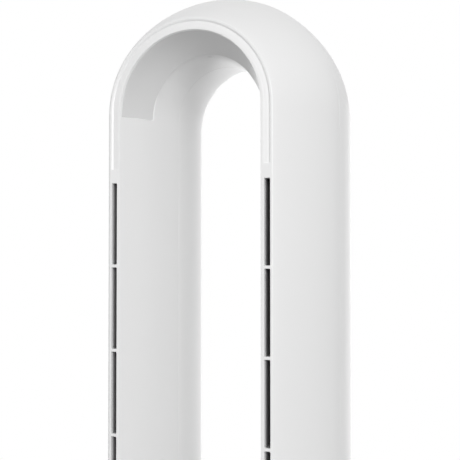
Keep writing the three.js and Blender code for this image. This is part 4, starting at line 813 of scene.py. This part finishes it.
# %% Dial glass and power button
def curved_disc(radius, height, thickness, dish=0.0, rings=10, sides=72):
    """Disc on the front of the drum with an eased edge. Its face may be dished by a parabola."""
    soft = EASE / radius
    share = np.concatenate([np.linspace(0, 1 - soft, rings), [1 - soft / 3, 1.0]])
    angle = np.linspace(0, 2 * np.pi, sides, endpoint=False)[:, None]
    x = radius * share * np.cos(angle)
    z = height + radius * share * np.sin(angle)
    sink = np.concatenate([dish * (1 - share[:rings] ** 2), [EASE / 3, EASE]])
    y = -np.sqrt(BODY_RADIUS**2 - x**2)
    return walled(np.stack([x, y + sink, z], -1), np.stack([x, y + thickness, z], -1))


glass = curved_disc(WINDOW_RADIUS - GAP, WINDOW_Z, BODY_WALL)
make_piece("dial_glass", glass, "turret", "gloss_black", ["display_window"])
button = curved_disc(BUTTON_RADIUS - GAP, BUTTON_Z, BODY_WALL + 1, dish=0.5)
make_piece("start_button", button, "button", "white_shell", ["power_button"])

# %% [markdown]
# ## Base
# The base is a shallow dish with a lid, with a socket cut through the back, and four rubber feet
# under its floor. A Screw modifier could turn an outline too, but a grid closes without a seam,
# and an outline whose corners are already arcs needs no bevel.

# %% Dish of the base
BASE_RADIUS = 115.0
BASE_WALL = 3.0
pan_low, pan_high = heights_of("base_pan")
pan_outline = rounded(
    [
        (20.0, pan_low),
        (BASE_RADIUS, pan_low),
        (BASE_RADIUS, pan_high),
        (BASE_RADIUS - BASE_WALL, pan_high),
        (BASE_RADIUS - BASE_WALL, pan_low + BASE_WALL),
        (23.0, pan_low + BASE_WALL),
        (23.0, pan_high - 2),
        (20.0, pan_high - 2),
    ],
    [EASE, 5.0, EASE, EASE, 1.5, 0.8, EASE, EASE],
    steps=7,
)
pan = make_piece("base_dish", turned(pan_outline, 180), "base", "white_shell", ["base_pan"])


# %% Socket opening
def block(low, high):
    """Closed box between two corners, as a ring of four edges whose lids' inner corners fall
    together in the middle."""
    (x0, y0, z0), (x1, y1, z1) = low, high
    ring = np.array([(x0, y0), (x1, y0), (x1, y1), (x0, y1)])
    centre = np.tile([(x0 + x1) / 2, (y0 + y1) / 2], (4, 1))
    rows = [(centre, z0), (ring, z0), (ring, z1), (centre, z1)]
    return tube(np.stack([np.hstack([xy, np.full((4, 1), z)]) for xy, z in rows], 1))


inlet_low, inlet_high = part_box("power_inlet")
socket_low = (inlet_low.x / MM - GAP, BASE_RADIUS - 8, inlet_low.z / MM - GAP)
socket_high = (inlet_high.x / MM + GAP, BASE_RADIUS + 8, inlet_high.z / MM + GAP)
cut_by(pan, block(socket_low, socket_high))

# %% Lid of the base
LID_HOLE = 60.0
lid_low, lid_high = heights_of("base_cover")
lid_outline = rounded(
    [
        (BASE_RADIUS, lid_low),
        (BASE_RADIUS, lid_high),
        (LID_HOLE, lid_high),
        (LID_HOLE, lid_high - BASE_WALL),
        (BASE_RADIUS - BASE_WALL, lid_high - BASE_WALL),
        (BASE_RADIUS - BASE_WALL, lid_low),
    ],
    [EASE, 6.0, EASE, EASE, 3.0, EASE],
    steps=9,
)
make_piece("base_lid", turned(lid_outline, 180), "base", "white_shell", ["base_cover"])

# %% Feet
FOOT_RADIUS = 9.0
HUB = 0.01  # a turned outline stops this far from its axis
for number in range(1, 5):
    name = f"foot_{number}"
    foot_low, foot_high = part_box(name)
    centre = ((foot_low.x + foot_high.x) / 2 / MM, (foot_low.y + foot_high.y) / 2 / MM)
    foot_top = foot_high.z / MM
    corners = [(HUB, 0), (FOOT_RADIUS, 0), (FOOT_RADIUS, foot_top), (HUB, foot_top)]
    foot = turned(rounded(corners, [0, 0.8, 0.4, 0]), 40, centre)
    make_piece(f"rubber_{name}", foot, "base", "rubber", [name])

# %% [markdown]
# ## Finishes
# The whole outside is white moulded plastic. Seen close, it isn't one flat colour: its tone
# drifts a little over a large moulding, and its surface has a very fine grain.
# Both effects serve every finish, so each is a node group built once, on Object coordinates.
# A photograph as a texture would be simpler, but it would carry its own light and marks.
# `moulded_grain` gives a bump height and a roughness that varies. `tone_drift` gives a colour.


# %% Helpers for shader nodes
def node(tree, kind, **values):
    """New node of a tree, with plain attributes set from keywords."""
    made = tree.nodes.new(kind)
    for key, value in values.items():
        setattr(made, key, value)
    return made


def feed(tree, socket, value):
    """Links another node's output to an input socket, or sets the socket to a plain value."""
    if isinstance(value, bpy.types.NodeSocket):
        tree.links.new(value, socket)
    else:
        socket.default_value = value


def math_node(tree, operation, *values):
    """Output of a Math node whose inputs are fed in order."""
    made = node(tree, "ShaderNodeMath", operation=operation)
    for socket, value in zip(made.inputs, values):
        feed(tree, socket, value)
    return made.outputs[0]


def noise(tree, scale, detail):
    """Noise of a scale on Object coordinates, from 0 to 1 round a mean of a half."""
    made = node(tree, "ShaderNodeTexNoise")
    feed(tree, made.inputs["Vector"], node(tree, "ShaderNodeTexCoord").outputs["Object"])
    feed(tree, made.inputs["Scale"], scale)
    feed(tree, made.inputs["Detail"], detail)
    return made.outputs["Fac"]


def new_group(name, inputs, outputs):
    """Node group with named sockets: inputs are (name, kind, default), outputs (name, kind)."""
    tree = bpy.data.node_groups.new(name, "ShaderNodeTree")
    for label, kind, default in inputs:
        socket = tree.interface.new_socket(name=label, in_out="INPUT", socket_type=kind)
        socket.default_value = default
    for label, kind in outputs:
        tree.interface.new_socket(name=label, in_out="OUTPUT", socket_type=kind)
    return tree, tree.nodes.new("NodeGroupInput"), tree.nodes.new("NodeGroupOutput")


# %% Moulded grain
FLOAT, COLOR = "NodeSocketFloat", "NodeSocketColor"
grain, entry, leave = new_group(
    "moulded_grain",
    [("Scale", FLOAT, 900.0), ("Roughness", FLOAT, 0.35), ("Spread", FLOAT, 0.05)],
    [("Height", FLOAT), ("Roughness", FLOAT)],
)
given = entry.outputs
centred = math_node(grain, "SUBTRACT", noise(grain, 14.0, 2.0), 0.5)
varied = math_node(grain, "MULTIPLY_ADD", centred, given["Spread"], given["Roughness"])
feed(grain, leave.inputs["Height"], noise(grain, given["Scale"], 3.0))
feed(grain, leave.inputs["Roughness"], varied)
print("moulded_grain has", len(grain.nodes), "nodes")

# %% Tone drift
drift, entry, leave = new_group(
    "tone_drift",
    [("Color", COLOR, (0.8, 0.8, 0.8, 1)), ("Amount", FLOAT, 0.03), ("Scale", FLOAT, 6.0)],
    [("Color", COLOR)],
)
given = entry.outputs
centred = math_node(drift, "SUBTRACT", noise(drift, given["Scale"], 3.0), 0.5)
toned = node(drift, "ShaderNodeVectorMath", operation="SCALE")
feed(drift, toned.inputs[0], given["Color"])
feed(drift, toned.inputs["Scale"], math_node(drift, "MULTIPLY_ADD", centred, given["Amount"], 1.0))
feed(drift, leave.inputs["Color"], toned.outputs[0])
print("tone_drift has", len(drift.nodes), "nodes")


# %% A finish from the two groups
def finish(name, color, roughness, scale=900.0, bump=0.02, spread=0.05, drifts=0.03, **sockets):
    """Principled material: its colour drifts, its roughness varies and a fine grain bumps it.
    Other sockets, such as Metallic, are set as they are."""
    material = bpy.data.materials.new(name)
    material.use_nodes = True
    tree = material.node_tree
    shader = tree.nodes["Principled BSDF"]
    texture = node(tree, "ShaderNodeGroup", node_tree=grain)
    texture.inputs["Scale"].default_value = scale
    texture.inputs["Roughness"].default_value = roughness
    texture.inputs["Spread"].default_value = spread
    tone = node(tree, "ShaderNodeGroup", node_tree=drift)
    tone.inputs["Color"].default_value = (*color, 1)
    tone.inputs["Amount"].default_value = drifts
    raise_it = node(tree, "ShaderNodeBump")
    raise_it.inputs["Strength"].default_value = bump
    raise_it.inputs["Distance"].default_value = 0.0002
    tree.links.new(texture.outputs["Height"], raise_it.inputs["Height"])
    tree.links.new(texture.outputs["Roughness"], shader.inputs["Roughness"])
    tree.links.new(tone.outputs["Color"], shader.inputs["Base Color"])
    tree.links.new(raise_it.outputs["Normal"], shader.inputs["Normal"])
    for label, value in sockets.items():
        shader.inputs[label].default_value = value
    material.diffuse_color = (*color, 1)
    return material


# %% [markdown]
# The shell is a satin white and the lining a softer, slightly darker one. The nozzles behind the
# slots are a lighter grey than their own dark grey: painted light for the narrow slots, where they
# still look nearly black. The dial is smoked gloss plastic, and the feet are rubber. The rest is
# hidden: acetal gears, foam, boards and steel.

# %% Finishes of the fan
PLASTIC = dict(bump=0.02, spread=0.02, drifts=0.02)
METAL = dict(scale=500, Metallic=1.0)
FINISHES = {
    "white_shell": finish("white_shell", (0.80, 0.80, 0.80), 0.34, **PLASTIC),
    "liner_white": finish("liner_white", (0.68, 0.68, 0.68), 0.3, **PLASTIC),
    # painted light: lighter than the nozzles' own dark grey, for light that reaches into the slots
    "nozzle_grey": finish("nozzle_grey", (0.34, 0.34, 0.345), 0.6, scale=700, bump=0.2),
    "inner_grey": finish("inner_grey", (0.27, 0.28, 0.29), 0.5, scale=600, bump=0.2),
    "dark_plastic": finish("dark_plastic", (0.03, 0.03, 0.035), 0.5, scale=500, bump=0.3),
    "gloss_black": finish("gloss_black", (0.01, 0.01, 0.012), 0.08, bump=0.01, spread=0.03),
    "rubber": finish("rubber", (0.02, 0.02, 0.02), 0.85, scale=400, bump=0.5, drifts=0.2),
    "acetal": finish("acetal", (0.68, 0.66, 0.60), 0.4, bump=0.1),
    "foam": finish("foam", (0.10, 0.10, 0.11), 0.95, scale=250, bump=1.0, drifts=0.5),
    "circuit_board": finish("circuit_board", (0.04, 0.12, 0.06), 0.4, bump=0.1, drifts=0.2),
    "steel": finish("steel", (0.42, 0.43, 0.45), 0.35, bump=0.2, **METAL),
    "motor_metal": finish("motor_metal", (0.38, 0.36, 0.34), 0.4, bump=0.2, **METAL),
}

# %% Put the finishes on
for obj in pieces.values():
    obj.data.materials.clear()
    obj.data.materials.append(FINISHES[obj["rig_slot"]])
for part in frame["record"]["subparts"]:
    for slot in frame["nodes"][part["node"]].material_slots:
        slot.link = "OBJECT"
        slot.material = FINISHES[part["material_slot"]]
print(len(FINISHES), "finishes on", len(pieces), "pieces and", len(frame["nodes"]), "nodes")

# %% [markdown]
# ## Stage, light and camera
# The fan stands on a plain pale floor, and the background is white. More light would whiten the
# background too, but it would also bleach the fan. So white is only what the camera sees: Light
# Path tells the rays of the camera, of reflections and through clear things from the rays that
# carry light. For those the floor runs out to white away from the fan, and the world is white.

# %% Rays that see
WHITE = (1, 1, 1, 1)


def seen(tree):
    """1 for rays that show a surface and 0 for rays that light one: the largest of Light Path's
    outputs for the camera, for gloss and for transmission."""
    rays = node(tree, "ShaderNodeLightPath").outputs
    either = math_node(tree, "MAXIMUM", rays["Is Camera Ray"], rays["Is Glossy Ray"])
    return math_node(tree, "MAXIMUM", either, rays["Is Transmission Ray"])


def mix_shaders(tree, share, first, second):
    """Output of a Mix Shader node: the first shader at a share of 0, the second at 1."""
    made = node(tree, "ShaderNodeMixShader")
    for socket, value in zip(made.inputs, (share, first.outputs[0], second.outputs[0])):
        feed(tree, socket, value)
    return made.outputs[0]


# %% Floor
FLOOR_HALF = 30
floor_mesh = bpy.data.meshes.new("floor")
floor_corners = [(-FLOOR_HALF, -FLOOR_HALF, 0), (FLOOR_HALF, -FLOOR_HALF, 0)]
floor_corners += [(FLOOR_HALF, FLOOR_HALF, 0), (-FLOOR_HALF, FLOOR_HALF, 0)]
floor_mesh.from_pydata(floor_corners, [], [(0, 1, 2, 3)])
floor = add_object("floor", floor_mesh)
floor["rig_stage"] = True
print("floor is", 2 * FLOOR_HALF, "m wide")

# %% Finish of the floor
LIGHT_GREY = 0.34  # the floor for rays that carry light, which keeps its glow on the fan low
SEEN_GREY = 0.78  # the floor as it is seen near the fan
WHITE_FROM, WHITE_BY = 0.35, 1.6  # metres from the fan between which it turns white
floor_finish = bpy.data.materials.new("floor")
floor_finish.use_nodes = True
tree = floor_finish.node_tree
surface = tree.nodes["Principled BSDF"]
surface.inputs["Roughness"].default_value = 0.9
shown = seen(tree)
grey = node(tree, "ShaderNodeMix", data_type="RGBA")
feed(tree, grey.inputs["Factor"], shown)
grey.inputs[6].default_value = (LIGHT_GREY, LIGHT_GREY, LIGHT_GREY, 1)
grey.inputs[7].default_value = (SEEN_GREY, SEEN_GREY, SEEN_GREY, 1)
feed(tree, surface.inputs["Base Color"], grey.outputs[2])
distance = node(tree, "ShaderNodeVectorMath", operation="LENGTH")
feed(tree, distance.inputs[0], node(tree, "ShaderNodeTexCoord").outputs["Object"])
far = node(tree, "ShaderNodeMapRange", interpolation_type="SMOOTHSTEP")
far.inputs["From Min"].default_value = WHITE_FROM
far.inputs["From Max"].default_value = WHITE_BY
feed(tree, far.inputs["Value"], distance.outputs["Value"])
paper = node(tree, "ShaderNodeEmission")
paper.inputs["Color"].default_value = WHITE
whiteness = math_node(tree, "MULTIPLY", shown, far.outputs["Result"])
blend = mix_shaders(tree, whiteness, surface, paper)
feed(tree, tree.nodes["Material Output"].inputs["Surface"], blend)
floor.data.materials.append(floor_finish)
print("floor turns white between", WHITE_FROM, "and", WHITE_BY, "m from the fan")

# %% World
WORLD_GLOW = 0.5
world = bpy.data.worlds.new("studio")
bpy.context.scene.world = world
world.use_nodes = True
tree = world.node_tree
tree.nodes.clear()
backdrop, glow = node(tree, "ShaderNodeBackground"), node(tree, "ShaderNodeBackground")
for background, strength in ((backdrop, 1.0), (glow, WORLD_GLOW)):
    background.inputs["Color"].default_value = WHITE
    background.inputs["Strength"].default_value = strength
blend = mix_shaders(tree, seen(tree), glow, backdrop)
feed(tree, node(tree, "ShaderNodeOutputWorld").inputs["Surface"], blend)
print("world glows at", WORLD_GLOW, "and is seen as white")

# %% [markdown]
# Three wide square lamps give soft light without hard shadows: a strong one in front to the
# right, a weak one in front to the left, and a low one behind that rims the far side of the loop.
# They are so weak that the white plastic shows nearly its own colour and nowhere burns out.


# %% Lamps
def lamp(name, place, target, size, power):
    """Square area lamp that points at a target."""
    data = bpy.data.lights.new(name, "AREA")
    data.shape = "SQUARE"
    data.size = size
    data.energy = power
    obj = add_object(name, data)
    x, y, z = np.array(target, float) - np.array(place, float)
    tilt = math.acos(-z / math.hypot(x, y, z))
    obj.location = place
    obj.rotation_euler = (tilt, 0, math.atan2(y, x) - math.pi / 2)
    print(f"{name} lamp: {power} W, {size} m wide")


lamp("key", (1.25, -1.58, 1.25), (0, 0, 0.95), 1.2, 27.5)
lamp("fill", (-1.8, -1.5, 1.1), (0, 0, 0.8), 1.6, 10)
lamp("back", (-0.5, 2.2, 0.5), (0, 0, 0.8), 1.8, 11)

# %% [markdown]
# The camera was fitted to the photograph: it stands to the right of the fan, a little below the
# top arch, and looks very slightly up.

# %% Camera
LENS = 71.75
SENSOR = 36
TILT, TURN = 90 + 1.375, 24.7  # degrees
camera_data = bpy.data.cameras.new("camera")
camera_data.lens = LENS
camera_data.sensor_width = SENSOR
camera = add_object("camera", camera_data)
camera.location = (0.3730, -0.8080, 0.8073)
camera.rotation_euler = (math.radians(TILT), 0, math.radians(TURN))
bpy.context.scene.camera = camera
bpy.context.scene.view_settings.view_transform = "Standard"
print("camera at", [round(v, 3) for v in camera.location], "with a lens of", LENS, "mm")

# %% Box of the shown pieces
low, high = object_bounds()
print("visual box", [round(v, 4) for v in (*low, *high)])
